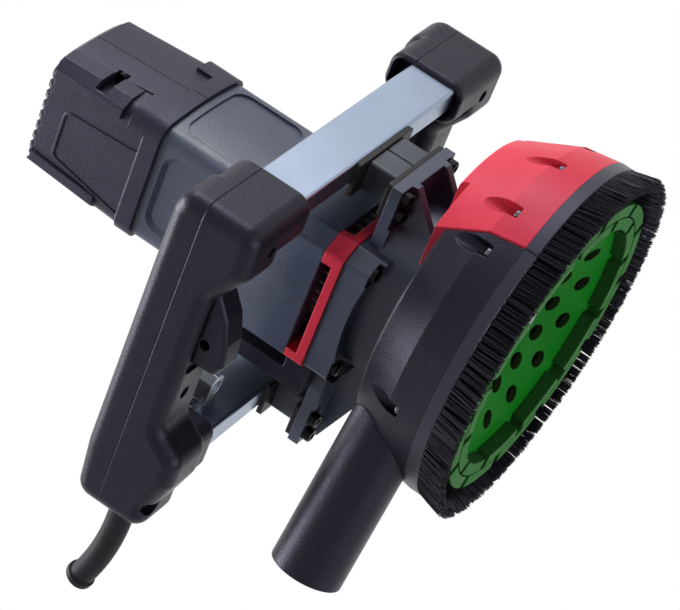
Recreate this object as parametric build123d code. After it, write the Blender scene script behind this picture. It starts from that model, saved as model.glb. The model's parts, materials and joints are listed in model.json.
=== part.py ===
# Two-handed concrete grinder, standing on its bristle tips.
#
# The motor stands beside the wheel spindle and drives it through one pair of spur gears. A frame of two
# cross tubes with a handle at each end hangs on rubber buffers above and below the motor.
#
# Frame: the origin is on the spindle axis at the bristle tips, +Z runs up the spindle to the motor, +X
# runs along the cross tubes to the support handle, and +Y runs to the cable end of the handles. The
# removable edge segment of the hood is at -Y.
import os
from math import acos, asin, cos, degrees, hypot, pi, radians, sin, tan

from build123d import *

# Fits and clearances
RUNNING_FIT = 0.05          # radial, shaft in a bearing
SEAT_FIT = 0.05             # radial, a piece pushed into its seat
SLIDE_GAP = 0.3             # between pieces that slide past each other
HOLE_GAP = 0.2              # radial, a screw in its clearance hole

# Cup wheel
WHEEL_RADIUS = 90.0
WHEEL_LIFT = 4.0            # working face above the bristle tips
WHEEL_PLATE = 4.0
WHEEL_HUB_RADIUS = 30.0
WHEEL_CONE_ANGLE = 22.0
WHEEL_BORE_RADIUS = 11.1
SEGMENT_HEIGHT = 8.0
SEGMENT_WIDTH = 7.5
SEGMENT_COUNT = 12          # in each of the two rows
SEGMENT_GAP = 7.0
ROW_GAP = 0.8
RIM_EDGE = 0.7              # rim left bare outside and inside the rows
WHEEL_HOLE_RADIUS = 5.0
WHEEL_HOLE_COUNT = 15       # in each of the two rings
WHEEL_HOLE_TURN = -4.0      # first outer hole from +X
OUTER_HOLE_PITCH = 61.0
INNER_HOLE_PITCH = 45.5

# Spindle
SPINDLE_RADIUS = 8.5
SPINDLE_NOSE_RADIUS = 7.0
SPINDLE_NOSE_REACH = 2.0    # nose below the clamp nut
SPINDLE_TOP_RADIUS = 6.0
SPINDLE_NOSE_EDGE = 1.0
SPINDLE_STEP = 1.0          # shoulder above the gear
FLANGE_RADIUS = 24.0
FLANGE_HEIGHT = 7.5
FLANGE_EDGE = 1.0
NUT_RADIUS = 20.0
NUT_HEIGHT = 7.0
NUT_PIN_RADIUS = 2.5
NUT_PIN_PITCH = 15.0

# Gear pair
GEAR_MODULE = 1.25
GEAR_TEETH = 30
PINION_TEETH = 12
PRESSURE_ANGLE = 20.0
TOOTH_ADDENDUM = 0.8        # in modules
TOOTH_DEDENDUM = 1.25       # in modules
TOOTH_BACKLASH = 0.25
GEAR_WIDTH = 10.0
GEAR_SINK = 1.0             # gear below the rim of the gear case
GEAR_HUB_RADIUS = 13.0
GEAR_RIM = 2.0              # below the tooth roots
GEAR_DISH = 2.0
GEAR_ROOM = 2.0             # round the gear in its case
PINION_OVERHANG = 0.5       # past the gear at either end
PINION_BORE_RADIUS = 4.5
PINION_ROOM = 3.0           # below the pinion
SAME_POINT = 0.01

# Hood and brush
BRISTLE_LENGTH = 15.5
BAND_HEIGHT = 7.5
BRUSH_OUTER_RADIUS = 102.5
BRUSH_WIDTH = 7.5
HOOD_CREASE_RADIUS = 99.5
HOOD_CREASE_HEIGHT = 43.5
HOOD_TOP_RADIUS = 89.0
HOOD_TOP_HEIGHT = 66.0
HOOD_WALL = 3.0
HOOD_SOFT_EDGE = 4.0
HOOD_BORE_RADIUS = 22.0
POCKET_RADIUS = 4.6
POCKET_PITCH = 97.3
POCKET_FLOOR = 37.0
BRUSH_SCREW_RADIUS = 1.7
BRUSH_SCREW_HEAD_RADIUS = 3.0
BRUSH_SCREW_HEAD = 2.4
HOOD_POCKETS = (-130.0, -50.0, 8.0, 172.0)
SEGMENT_POCKETS = (-115.0, -90.0, -65.0)
POCKET_RISE = 12.0          # of a pocket's boss above the crease
HOOD_SCREW_ANGLES = (45, 135, 225, 315)
HOOD_SCREW_GRIP = 14.0
HOOD_SCREW_HEAD_RADIUS = 4.0

# Edge segment of the hood
EDGE_HALF_WIDTH = 57.0
EDGE_REAR = -41.0
EDGE_PROUD = 0.8            # outside the hood's wall
EDGE_SHOULDER_HEIGHT = 71.0
EDGE_RIDGE_HEIGHT = 76.0
EDGE_RIDGE_HALF_WIDTH = 30.0
PRONG_WIDTH = 4.0
PRONG_REACH = 24.0
PRONG_ROOT = 4.0            # into the hood

# Bristles
STRAND_WIDTH = 1.9
STRAND_ROWS = 3
STRAND_PITCH_ANGLE = 2.2
STRAND_SPLAY = 3.3          # tips further out than the roots
HOOD_STRIPS = 6
EDGE_STRIPS = 2

# Dust port
PORT_RADIUS = 20.8
PORT_WALL = 2.3
PORT_HEIGHT = 46.0
PORT_OFFSET = 53.0          # axis to the side of the spindle
PORT_TURN = 20.0            # from +Y towards -X
PORT_REACH = 161.0          # end of the port, along its axis from abreast of the spindle

# Motor
BODY_HALF_X = 46.5          # gear end
BODY_TOP_Y = -14.5
BODY_BOTTOM_Y = 68.5
BODY_BEVEL_X = 10.5
BODY_BEVEL_Y = 7.5
BODY_CORNER = 3.0
BODY_WALL = 3.0
HOUSING_LOW = 124.0
SKIRT_HIGH = 158.0
SKIRT_TAPER_LENGTH = 22.0
SKIRT_TAPER = 7.0
SKIRT_EDGE = 0.6
CASE_HALF_X = 40.0          # field end
CASE_TOP_Y = -12.0
CASE_BOTTOM_Y = 65.5
CASE_CROWN = 3.5
CASE_CORNER = 9.0
HOUSING_HIGH = 246.0
MOTOR_BORE_RADIUS = 35.5
FAN_SPACE_RADIUS = 38.0
FAN_SPACE_HIGH = 134.0
PANEL_DEPTH = 2.0
PANEL_SLOPE = 55.0          # of the panel's border, from its depth
PANEL_CORNER = 10.0
PANEL_MARGIN = 13.0
PANEL_CLEAR = 5.0           # from the skirt and from the collar
RECESS_HALF_X = 30.0        # sunk field on the top
RECESS_DEPTH = 1.2
RECESS_CORNER = 9.0
SPIGOT_RADIUS = 33.0
SPIGOT_LENGTH = 18.0
SHAFT_RADIUS = 6.0
SHAFT_TAIL_RADIUS = 5.0     # in the rear bearing
CORE_RADIUS = 23.0
CORE_LENGTH = 55.0
CORE_LOW = 150.0
CORE_SLOTS = 12
CORE_SLOT_DEPTH = 6.0
CORE_SLOT_WIDTH = 2.4
AIR_GAP = 0.8
FIELD_WINDOW = 16.0         # opening for a field coil
FIELD_YOKE = 5.0            # iron outside the opening
COIL_LENGTH = 11.0
COIL_CLEAR = 2.0            # from the shaft, the core and the housing
COIL_INSET = 3.0            # armature winding inside the rim of its core
COIL_ROUNDING = 3.0
COIL_SPLIT = 8.0            # between the two field coils
COMMUTATOR_RADIUS = 14.0
COMMUTATOR_LENGTH = 20.0
COMMUTATOR_LOW = 226.0
RISER_PROUD = 2.0
RISER_LENGTH = 3.0
FAN_RADIUS = 36.5
FAN_HUB_RADIUS = 12.0
FAN_BLADES = 36
FAN_BLADE_HEIGHT = 8.5
FAN_BLADE_THICKNESS = 1.2
FAN_BLADE_DEPTH = 14.0
FAN_PLATE = 2.0
FAN_CLEAR = 1.0
SPIDER_WIDTH = 8.0          # arms that hold the rear bearing
SPIDER_OVERLAP = 1.0

# Carbon brushes
CARBON_WIDTH = 8.0
CARBON_LENGTH = 14.0
CARBON_RISE = 1.0           # above the middle of the commutator
HOLDER_WALL = 1.2
HOLDER_CLEAR = 4.0          # from the commutator

# Armature bearings
FRONT_BEARING_RADIUS = 16.0
FRONT_BEARING_WIDTH = 10.0
REAR_BEARING_RADIUS = 14.0
REAR_BEARING_WIDTH = 9.0
BEARING_SHIELD_DEPTH = 0.8

# Rear cover
COVER_TOP = 313.0
COVER_PROUD = 1.0           # outside the housing at the collar
COVER_END_HALF_X = 37.5
COVER_END_TOP_Y = -9.0
COVER_END_BOTTOM_Y = 64.0
COVER_WALL = 3.0
COVER_END = 4.0
COVER_RIM = 3.0             # bevel round the rear end
REAR_CUT_Y = 4.4            # lower rear corner cut back
REAR_CUT_Z = 9.0
COLLAR_LOW = 236.0
COLLAR_HEIGHT = 11.0
COLLAR_PROUD = 1.3
COLLAR_EDGE = 1.0
PAD_LENGTH = 10.0           # pads behind the collar on its upper corners
PAD_DROP = 12.0
LOUVRE_COUNT = 9
LOUVRE_WIDTH = 3.8
LOUVRE_PITCH = 7.2
RAIL_LOW = 263.0            # rails over the near corners
RAIL_INNER_X = 21.0
RAIL_SLOPE_X = 33.0
RAIL_SHOULDER = 5.0
RAIL_SIDE = 11.5
RAIL_PROUD = 1.8
RAIL_ROUNDING = 1.2
GROOVE_LOW = 249.0          # groove along the inner side of a rail
GROOVE_DROP = 7.0           # below the top of the cover
GROOVE_LOW_X = 18.3
GROOVE_HIGH_X = 23.3
GROOVE_WIDTH = 1.4
GROOVE_DEPTH = 0.9
BEAD_PROUD = 0.7            # bead round the side field
BEAD_WIDTH = 1.6
BEAD_CORNER = 5.0
BEAD_DROP = 16.0            # below the top of the cover
BEAD_REAR_Y = (17.0, 49.0)
BEAD_FRONT_Y = (11.0, 59.0)
COVER_SCREW_X = 16.0        # seat of the head to either side of the seam
COVER_SCREW_RISE = 16.0     # above the spigot of the housing
COVER_SCREW_DEPTH = 4.0
COVER_SCREW_RADIUS = 2.0
COVER_SCREW_HEAD_RADIUS = 3.6
COVER_SCREW_HEAD = 2.8
COVER_SLOT_END = 38.5

# Fan ring
RING_LOW = 112.0
RING_PLATE = 5.5
RING_FLOOR = 1.0            # over the front bearing
POST_WIDTH_NEAR_TOP = 15.0
POST_WIDTH_NEAR_BOTTOM = 7.0

# Gear housing
GEARCASE_LOW = 92.0
GEARCASE_INSET = 1.0
ARCH_HEIGHT = 98.3
ARCH_RADIUS = 133.0
CORNER_SCREW_INSET_X = 7.0
CORNER_SCREW_INSET_Y = 8.0
CORNER_POCKET_RADIUS = 6.5
CORNER_POCKET_DEPTH = 4.5
NECK_HALF_X = 33.0
NECK_LENGTH = 62.0
NECK_BEVEL = 6.0
NECK_ROOT = 4.0             # into the gear case
SPINDLE_BEARING_RADIUS = 20.0
SPINDLE_BEARING_WIDTH = 12.0
SPINDLE_BEARING_LOW = 70.0
TOP_BEARING_RADIUS = 9.0
TOP_BEARING_WIDTH = 8.0

# Arms, buffers and tubes
ARM_HALF_X = 29.0
ARM_PLATE = 8.0
ARM_LOW = 101.0
ARM_SEAT_X = 18.5           # bolt lands sunk outside this
ARM_SEAT_DEPTH = 1.5
ARM_SEAT_CLEAR = 3.0        # past the buffer plates
GUSSET_INNER = 13.0
GUSSET_THICKNESS = 5.0
GUSSET_LIP = 2.0            # height of a gusset at the end of its arm
GUSSET_INSET = 6.0          # into the neck
GUSSET_RISE = 13.0          # foot above the hood
LOWER_GUSSET_RISE = 1.0
ARM_ROOT = 8.0              # into the gear case
BUFFER_PLATE = 3.0
BUFFER_HALF_X = 28.5
BUFFER_DEPTH = 22.0
BUFFER_CORNER = 2.0
RUBBER_HALF_X = 18.5
RUBBER_HEIGHT = 17.4
RUBBER_INSET = 1.5
RUBBER_SEAM = 1.2           # groove between the two blocks of a buffer
RUBBER_CORNER = 2.0
TUBE_DEPTH = 30.0           # along Z
TUBE_HEIGHT = 15.0          # along Y
TUBE_WALL = 2.0
TUBE_CORNER = 2.0
TUBE_HALF_LENGTH = 106.0
FRAME_TOP = -52.8
FRAME_BOTTOM = 123.5
LOWER_BUFFER_END = 128.0
LOWER_ARM_OVERHANG = 1.5
ARM_BOLT_X = 24.0
ARM_BOLT_RADIUS = 2.5
ARM_BOLT_HEAD_RADIUS = 4.2
ARM_BOLT_HEAD = 5.0
ARM_BOLT_EDGE = 0.8
ARM_BOLT_INSET = 5.5
TUBE_SCREW_X = 20.0

# Handles
GRIP_X = 118.0
GRIP_WIDTH = 36.0
GRIP_ROUNDING = 9.0
GRIP_CORNER = 10.0
GRIP_START = -5.0
GRIP_END = 88.0
GRIP_LOW = 141.0
GRIP_HIGH = 179.0
HEAD_TOP = -56.0
HEAD_FLAT_END = -26.0
HEAD_LOW = 127.0
HEAD_HIGH = 175.0
HEAD_BEVEL = 12.0
LOBE_START = 100.0
LOBE_END = 118.0
LOBE_LOW = 124.5
TAIL_START = 138.0
TAIL_LOW = 131.5
TAIL_HIGH = 176.0
TAIL_BEVEL = 35.5
HANDLE_END = 155.5
HANDLE_SPLIT = 160.0
COLLET_INNER_X = 79.5       # head round the upper tube
COLLET_END = -28.0
COLLET_EDGE = 4.0
COLLET_RIM = 3.0            # round the hollow end of the head
COLLET_HOLLOW = 12.0
COLLET_HOLLOW_CORNER = 6.0
BOSS_INNER_X = 88.0         # boss round the lower tube
BOSS_START = 98.0
BOSS_END = 131.0
BOSS_LOW = 128.0
BOSS_HIGH = 172.0
BOSS_ROUNDING = 8.0
CAVITY_WALL = 6.0
CAVITY_START = -4.0
PILLAR_RADIUS = 6.5
HANDLE_SCREW_RADIUS = 2.0
HANDLE_SCREW_HEAD_RADIUS = 3.6
HANDLE_SCREW_HEAD = 3.0
HANDLE_SCREW_DEPTH = 14.0   # head below the wheel-side face of the grip
HEAD_SCREW = (-113.5, -38.0)
GRIP_SCREW = (-121.0, 65.0)
TAIL_SCREW = (-128.0, 138.0)
TAIL_RECESS_RADIUS = 6.5
TAIL_RECESS_DEPTH = 5.0

# Trigger
TRIGGER_WIDTH = 18.0
TRIGGER_PIN_RADIUS = 2.5
TRIGGER_PIN_Y = -1.0
TRIGGER_PIN_DROP = 13.0     # below the seam of the handle
TRIGGER_END = 42.0
TRIGGER_LOW = 124.3
TRIGGER_TOP_DROP = 10.0
TRIGGER_HOLE_RADIUS = 3.2
TRIGGER_HOLE_Y = 26.0
TRIGGER_HOLE_DROP = 22.0
TRIGGER_THROW = 7.0         # degrees
TRIGGER_CORNER = 4.0
TRIGGER_ROUNDING = 3.2
TRIGGER_BACK = 3.5          # behind the pin
TRIGGER_HEEL = 7.0          # below the pin at the back
TRIGGER_BEND = (13.0, 6.5)  # from the back, above the lowest point
TRIGGER_PALM = (27.0, 1.7)
TRIGGER_TOE = (8.0, 1.0, 3.2)
TRIGGER_CLEAR = 2.0
TRIGGER_ROOF = 4.0          # room ends below the seam of the handle
TRIGGER_PIN_COVER = 3.0     # handle wall over the ends of the pin
TRIGGER_RIM = 2.2           # recess in the grip round the trigger
TRIGGER_RIM_DEPTH = 2.0
TRIGGER_RIM_END = 49.0
SWITCH_START = 6.0
SWITCH_END = 40.0
SWITCH_SINK = 3.0           # below the seam of the handle
SWITCH_EAR = 3.0
SWITCH_EAR_INSET = 4.0
PLUNGER_WIDTH = 6.0
PLUNGER_INSET = 6.0         # from the cable end of the switch
PLUNGER_GAP = 0.5           # above the pressed trigger

# Cable sleeve
SLEEVE_RADIUS = 7.3
SLEEVE_STRAIGHT = 12.5
SLEEVE_LENGTH = 56.0        # of the bend
SLEEVE_BEND_RADIUS = 150.0
SLEEVE_ROOT = 12.0          # inside the handle
SLEEVE_HEIGHT = 151.0
SLEEVE_BEAD = 1.3
SLEEVE_BEAD_LENGTH = 4.0
CABLE_RADIUS = 4.2
CABLE_LIFT = 1.0            # channel above the lower tube
CLAMP_LENGTH = 8.0
CLAMP_HEIGHT = 4.0
CLAMP_INSET = 14.0          # from the root of the sleeve

# Threaded block on the lower tube
BLOCK_X = -71.5
BLOCK_RISE = 11.3           # above the wheel-side edge of the tube
BLOCK_WIDTH = 13.0
BLOCK_DEPTH = 14.0
BLOCK_HEIGHT = 24.8
BLOCK_FOOT = 8.0
BLOCK_FOOT_HEIGHT = 4.0
BLOCK_HOLE_RADIUS = 5.0
BLOCK_HOLE_HEIGHT = 15.5
BLOCK_FOOT_INSET = 2.0      # foot narrower than the block on either side
BLOCK_FOOT_CORNER = 3.0
BLOCK_CROWN = 4.3           # bevel at the free end
BLOCK_SCREW_RADIUS = 2.0
BLOCK_SCREW_HEAD_RADIUS = 3.6
BLOCK_SCREW_HEAD = 2.4

# Wiring duct below the motor
DUCT_HALF_X = 40.0
DUCT_HEIGHT = 11.0
DUCT_STANDOFF = 10.75
DUCT_FOOT = 15.0
DUCT_LENGTH = 56.0
DUCT_WALL = 2.5

# Screws
SCREW_RADIUS = 2.5
SCREW_HEAD_RADIUS = 4.5
SCREW_HEAD = 3.5
SCREW_DRIVE = 1.0           # width and depth of the cross in a head
SCREW_SHORT = 1.0           # point short of the end of its hole

# Heights and places that follow
MOTOR_Y = GEAR_MODULE * (GEAR_TEETH + PINION_TEETH) / 2
MOTOR_AXIS = (0, MOTOR_Y)
BAND_TOP = BRISTLE_LENGTH + BAND_HEIGHT
BRUSH_INNER_RADIUS = BRUSH_OUTER_RADIUS - BRUSH_WIDTH
RIM_LOW = WHEEL_LIFT + SEGMENT_HEIGHT
RIM_INNER_RADIUS = WHEEL_RADIUS - 2 * SEGMENT_WIDTH - ROW_GAP - 2 * RIM_EDGE
HUB_LOW = RIM_LOW + (RIM_INNER_RADIUS - WHEEL_HUB_RADIUS) * tan(radians(WHEEL_CONE_ANGLE))
HUB_HIGH = HUB_LOW + WHEEL_PLATE
SPINDLE_SHOULDER = HUB_HIGH + FLANGE_HEIGHT
SPINDLE_BEARING_HIGH = SPINDLE_BEARING_LOW + SPINDLE_BEARING_WIDTH
GEAR_LOW = GEARCASE_LOW - GEAR_SINK
GEAR_HIGH = GEAR_LOW + GEAR_WIDTH
PINION_LOW = GEAR_LOW - PINION_OVERHANG
PINION_HIGH = GEAR_HIGH + PINION_OVERHANG
RING_HIGH = RING_LOW + RING_PLATE
RING_BOSS_LOW = RING_HIGH - FRONT_BEARING_WIDTH - RING_FLOOR
FAN_LOW = RING_HIGH + FAN_CLEAR
FAN_HIGH = FAN_LOW + FAN_BLADE_HEIGHT
CORE_HIGH = CORE_LOW + CORE_LENGTH
COMMUTATOR_HIGH = COMMUTATOR_LOW + COMMUTATOR_LENGTH
SPIGOT_HIGH = HOUSING_HIGH + SPIGOT_LENGTH
REAR_BEARING_LOW = SPIGOT_HIGH - REAR_BEARING_WIDTH
ARM_HIGH = ARM_LOW + ARM_PLATE
RUBBER_LOW = ARM_HIGH + BUFFER_PLATE
RUBBER_HIGH = RUBBER_LOW + RUBBER_HEIGHT
TUBE_LOW = RUBBER_HIGH + BUFFER_PLATE
TUBE_HIGH = TUBE_LOW + TUBE_DEPTH
TRIGGER_PIN_Z = HANDLE_SPLIT - TRIGGER_PIN_DROP
TRIGGER_TOP = HANDLE_SPLIT - TRIGGER_TOP_DROP
TRIGGER_HOLE_Z = HANDLE_SPLIT - TRIGGER_HOLE_DROP
GROOVE_HIGH = COVER_TOP - GROOVE_DROP
BEAD_REAR = COVER_TOP - BEAD_DROP
COVER_SCREW_Z = SPIGOT_HIGH + COVER_SCREW_RISE
GRIP_OUTER_X = GRIP_X + GRIP_WIDTH / 2
UPPER_TUBE_Y = FRAME_TOP + TUBE_HEIGHT / 2
LOWER_TUBE_Y = FRAME_BOTTOM - TUBE_HEIGHT / 2
CABLE_LOW = TUBE_HIGH + CABLE_LIFT

HOOD_SCREW_PITCH = (SPINDLE_BEARING_RADIUS + NECK_HALF_X) / 2

# Outer edge of the buffers in Y, with the direction that leads to the motor
FRAME_SIDES = {"upper": (FRAME_TOP, 1), "lower": (LOWER_BUFFER_END, -1)}

# End and root of each arm in Y, then the foot of its gussets in Y and Z
ARM_PLACES = {
    "upper": (FRAME_TOP, BODY_TOP_Y + ARM_ROOT, GUSSET_INSET - NECK_HALF_X, HOOD_TOP_HEIGHT + GUSSET_RISE),
    "lower": (LOWER_BUFFER_END + LOWER_ARM_OVERHANG, BODY_BOTTOM_Y - ARM_ROOT, NECK_LENGTH - GUSSET_INSET,
              HOOD_TOP_HEIGHT + LOWER_GUSSET_RISE),
}

BASE = (Align.CENTER, Align.CENTER, Align.MIN)
CORNER = (Align.MIN, Align.MIN, Align.MIN)
FAR = 400.0                 # longer than the whole machine, for cutting


# Basic forms
def rod(radius, low, high, at=(0, 0)):
    return Pos(at[0], at[1], low) * Cylinder(radius, high - low, align=BASE)


def tube(outer, inner, low, high, at=(0, 0)):
    return rod(outer, low, high, at) - rod(inner, low, high, at)


def rod_x(radius, left, right, y, z):
    return Pos(left, y, z) * Rot(0, 90, 0) * Cylinder(radius, right - left, align=BASE)


def block(x, y, z):
    return Pos(x[0], y[0], z[0]) * Box(x[1] - x[0], y[1] - y[0], z[1] - z[0], align=CORNER)


def spun(points):
    return revolve(Plane.XZ * Polygon(*points, align=None), Axis.Z)


def around(angle, radius):
    return radius * cos(radians(angle)), radius * sin(radians(angle))


def group(solids):
    return Compound(children=list(solids))


def mirrored(shape):
    return mirror(shape, about=Plane.YZ)


def bearing(outer, inner, low, high, at=(0, 0)):
    land = (outer - inner) / 4
    shield = tube(outer - land, inner + land, 0, BEARING_SHIELD_DEPTH)
    ring = tube(outer - SEAT_FIT, inner + RUNNING_FIT, low, high, at)
    lower = Pos(at[0], at[1], low) * shield
    upper = Pos(at[0], at[1], high - BEARING_SHIELD_DEPTH) * shield
    return ring - lower - upper


def pan_screw(length, at, seat, radius=SCREW_RADIUS, head_radius=SCREW_HEAD_RADIUS, head=SCREW_HEAD):
    """A screw along Z whose shank runs down from the seat of its head."""
    dome = fillet(rod(head_radius, 0, head).edges().sort_by(Axis.Z)[-1], head / 2)
    cross = Box(head_radius, SCREW_DRIVE, head) + Box(SCREW_DRIVE, head_radius, head)
    drive = Pos(0, 0, head - SCREW_DRIVE) * cross
    shank = rod(radius, -length, 0)
    return Pos(at[0], at[1], seat) * (dome + shank - drive)


# Gears
def tooth_half_angle(radius, pitch, base):
    def involute(r):
        bend = acos(min(1.0, base / r))
        return tan(bend) - bend
    thickness = pi * GEAR_MODULE / 2 - TOOTH_BACKLASH
    return thickness / (2 * pitch) + involute(pitch) - involute(max(radius, base))


def gear_outline(teeth, first):
    """Spur gear outline whose first tooth points along the given angle."""
    pitch = GEAR_MODULE * teeth / 2
    base = pitch * cos(radians(PRESSURE_ANGLE))
    root = pitch - TOOTH_DEDENDUM * GEAR_MODULE
    tip = pitch + TOOTH_ADDENDUM * GEAR_MODULE
    flank = (root, max(root, base), pitch, tip)
    outline = []
    for tooth in range(teeth):
        middle = radians(first) + 2 * pi * tooth / teeth
        side = [(r, tooth_half_angle(r, pitch, base)) for r in flank]
        rising = [(r, middle - half) for r, half in side]
        falling = [(r, middle + half) for r, half in reversed(side)]
        for r, angle in rising + falling:
            point = (r * cos(angle), r * sin(angle))
            last = outline[-1] if outline else (0, 0)
            if hypot(point[0] - last[0], point[1] - last[1]) > SAME_POINT:
                outline.append(point)
    return Polygon(*outline, align=None)


def drive_gear():
    teeth = Pos(0, 0, GEAR_LOW) * extrude(gear_outline(GEAR_TEETH, 90), GEAR_WIDTH)
    root = GEAR_MODULE * GEAR_TEETH / 2 - TOOTH_DEDENDUM * GEAR_MODULE
    dish = tube(root - GEAR_RIM, GEAR_HUB_RADIUS, 0, GEAR_DISH)
    lower = Pos(0, 0, GEAR_LOW) * dish
    upper = Pos(0, 0, GEAR_HIGH - GEAR_DISH) * dish
    return teeth - lower - upper - rod(SPINDLE_RADIUS + SEAT_FIT, GEAR_LOW, GEAR_HIGH)


def pinion():
    gap_to_tooth = 180 / PINION_TEETH
    outline = gear_outline(PINION_TEETH, gap_to_tooth - 90)
    teeth = Pos(0, MOTOR_Y, PINION_LOW) * extrude(outline, PINION_HIGH - PINION_LOW)
    return teeth - rod(PINION_BORE_RADIUS + SEAT_FIT, PINION_LOW, PINION_HIGH, MOTOR_AXIS)


# Spindle and wheel
def spindle():
    nose_end = HUB_LOW - NUT_HEIGHT - SPINDLE_NOSE_REACH
    nose = rod(SPINDLE_NOSE_RADIUS, nose_end, SPINDLE_SHOULDER)
    nose = chamfer(nose.edges().sort_by(Axis.Z)[0], SPINDLE_NOSE_EDGE)
    body = rod(SPINDLE_RADIUS, SPINDLE_SHOULDER, GEAR_HIGH + SPINDLE_STEP)
    top = rod(SPINDLE_TOP_RADIUS, GEAR_HIGH + SPINDLE_STEP, RING_BOSS_LOW + TOP_BEARING_WIDTH)
    return nose + body + top


def wheel_flange():
    disc = tube(FLANGE_RADIUS, SPINDLE_NOSE_RADIUS + SEAT_FIT, HUB_HIGH, SPINDLE_SHOULDER)
    spigot = tube(WHEEL_BORE_RADIUS - SEAT_FIT, SPINDLE_NOSE_RADIUS + SEAT_FIT, HUB_LOW, HUB_HIGH)
    return chamfer(disc.edges().sort_by(Axis.Z)[-2:], FLANGE_EDGE) + spigot


def wheel_nut():
    nut = tube(NUT_RADIUS, SPINDLE_NOSE_RADIUS + SEAT_FIT, HUB_LOW - NUT_HEIGHT, HUB_LOW)
    for angle in range(0, 360, 90):
        nut -= rod(NUT_PIN_RADIUS, HUB_LOW - NUT_HEIGHT, HUB_LOW, around(angle, NUT_PIN_PITCH))
    return nut


def cup_wheel():
    cone = (RIM_INNER_RADIUS - WHEEL_HUB_RADIUS) * tan(radians(WHEEL_CONE_ANGLE))
    lower = [(WHEEL_BORE_RADIUS, HUB_LOW), (WHEEL_HUB_RADIUS, HUB_LOW), (RIM_INNER_RADIUS, HUB_LOW - cone),
             (WHEEL_RADIUS, RIM_LOW)]
    upper = [(r, z + WHEEL_PLATE) for r, z in reversed(lower)]
    wheel = spun(lower + upper)
    step = 360 / WHEEL_HOLE_COUNT
    for number in range(WHEEL_HOLE_COUNT):
        outer = around(WHEEL_HOLE_TURN + number * step, OUTER_HOLE_PITCH)
        inner = around(WHEEL_HOLE_TURN + (number + 0.5) * step, INNER_HOLE_PITCH)
        wheel -= rod(WHEEL_HOLE_RADIUS, 0, FAR, outer)
        wheel -= rod(WHEEL_HOLE_RADIUS, 0, FAR, inner)
    return wheel


def diamond_segments():
    solids = []
    outer_radius = WHEEL_RADIUS - RIM_EDGE
    for row in range(2):
        high = outer_radius - row * (SEGMENT_WIDTH + ROW_GAP)
        low = high - SEGMENT_WIDTH
        span = 360 / SEGMENT_COUNT - degrees(SEGMENT_GAP / high)
        corners = [(low, WHEEL_LIFT), (high, WHEEL_LIFT), (high, RIM_LOW), (low, RIM_LOW)]
        piece = revolve(Plane.XZ * Polygon(*corners, align=None), Axis.Z, span)
        for number in range(SEGMENT_COUNT):
            start = (number + row / 2) * 360 / SEGMENT_COUNT
            solids.append(Rot(0, 0, start) * piece)
    return group(solids)


# Armature
def armature_shaft():
    pinion_end = rod(PINION_BORE_RADIUS, PINION_LOW, RING_BOSS_LOW, MOTOR_AXIS)
    body = rod(SHAFT_RADIUS, RING_BOSS_LOW, REAR_BEARING_LOW, MOTOR_AXIS)
    tail = rod(SHAFT_TAIL_RADIUS, REAR_BEARING_LOW, SPIGOT_HIGH, MOTOR_AXIS)
    return pinion_end + body + tail


def armature_core():
    core = tube(CORE_RADIUS, SHAFT_RADIUS + SEAT_FIT, CORE_LOW, CORE_HIGH)
    half = CORE_SLOT_WIDTH / 2
    slot = block((CORE_RADIUS - CORE_SLOT_DEPTH, FAR), (-half, half), (CORE_LOW, CORE_HIGH))
    for number in range(CORE_SLOTS):
        core -= Rot(0, 0, number * 360 / CORE_SLOTS) * slot
    return Pos(0, MOTOR_Y, 0) * core


def armature_windings():
    def bulge(low, high):
        ends = tube(CORE_RADIUS - COIL_INSET, SHAFT_RADIUS + COIL_CLEAR, low, high)
        levels = ends.edges().group_by(Axis.Z)
        return Pos(0, MOTOR_Y, 0) * fillet(levels[0] + levels[-1], COIL_ROUNDING)
    return group([bulge(CORE_LOW - COIL_LENGTH, CORE_LOW), bulge(CORE_HIGH, CORE_HIGH + COIL_LENGTH)])


def commutator():
    drum = tube(COMMUTATOR_RADIUS, SHAFT_RADIUS + SEAT_FIT, COMMUTATOR_LOW, COMMUTATOR_HIGH)
    riser_high = COMMUTATOR_LOW + RISER_LENGTH
    riser = tube(COMMUTATOR_RADIUS + RISER_PROUD, COMMUTATOR_RADIUS, COMMUTATOR_LOW, riser_high)
    return Pos(0, MOTOR_Y, 0) * (drum + riser)


def cooling_fan():
    plate = tube(FAN_RADIUS, SHAFT_RADIUS + SEAT_FIT, FAN_HIGH, FAN_HIGH + FAN_PLATE)
    hub = tube(FAN_HUB_RADIUS, SHAFT_RADIUS + SEAT_FIT, FAN_LOW, FAN_HIGH)
    half = FAN_BLADE_THICKNESS / 2
    blade = block((FAN_RADIUS - FAN_BLADE_DEPTH, FAN_RADIUS), (-half, half), (FAN_LOW, FAN_HIGH))
    blades = [Rot(0, 0, n * 360 / FAN_BLADES) * blade for n in range(FAN_BLADES)]
    return Pos(0, MOTOR_Y, 0) * (plate + hub).fuse(*blades)


# Body sections
def body_section(grow, z):
    """Outline of the gear end, bevelled at its upper corners and grown outwards by the given amount."""
    wide = BODY_HALF_X + grow
    top = BODY_TOP_Y - grow
    low = BODY_BOTTOM_Y + grow
    points = [(-wide, low), (-wide, top + BODY_BEVEL_Y), (BODY_BEVEL_X - wide, top),
              (wide - BODY_BEVEL_X, top), (wide, top + BODY_BEVEL_Y), (wide, low)]
    return Pos(0, 0, z) * fillet(Polygon(*points, align=None).vertices(), BODY_CORNER)


def body_slab(grow, low, high):
    return extrude(body_section(grow, low), high - low, dir=(0, 0, 1))


def crowned_section(half_x, top, low, corner, z):
    """Rounded section whose upper edge is an arch."""
    shoulder = top + CASE_CROWN
    left = Line((-half_x, shoulder), (-half_x, low))
    base = Line((-half_x, low), (half_x, low))
    right = Line((half_x, low), (half_x, shoulder))
    arch = ThreePointArc((half_x, shoulder), (0, top), (-half_x, shoulder))
    face = make_face([left, base, right, arch])
    return Pos(0, 0, z) * fillet(face.vertices(), corner)


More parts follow.
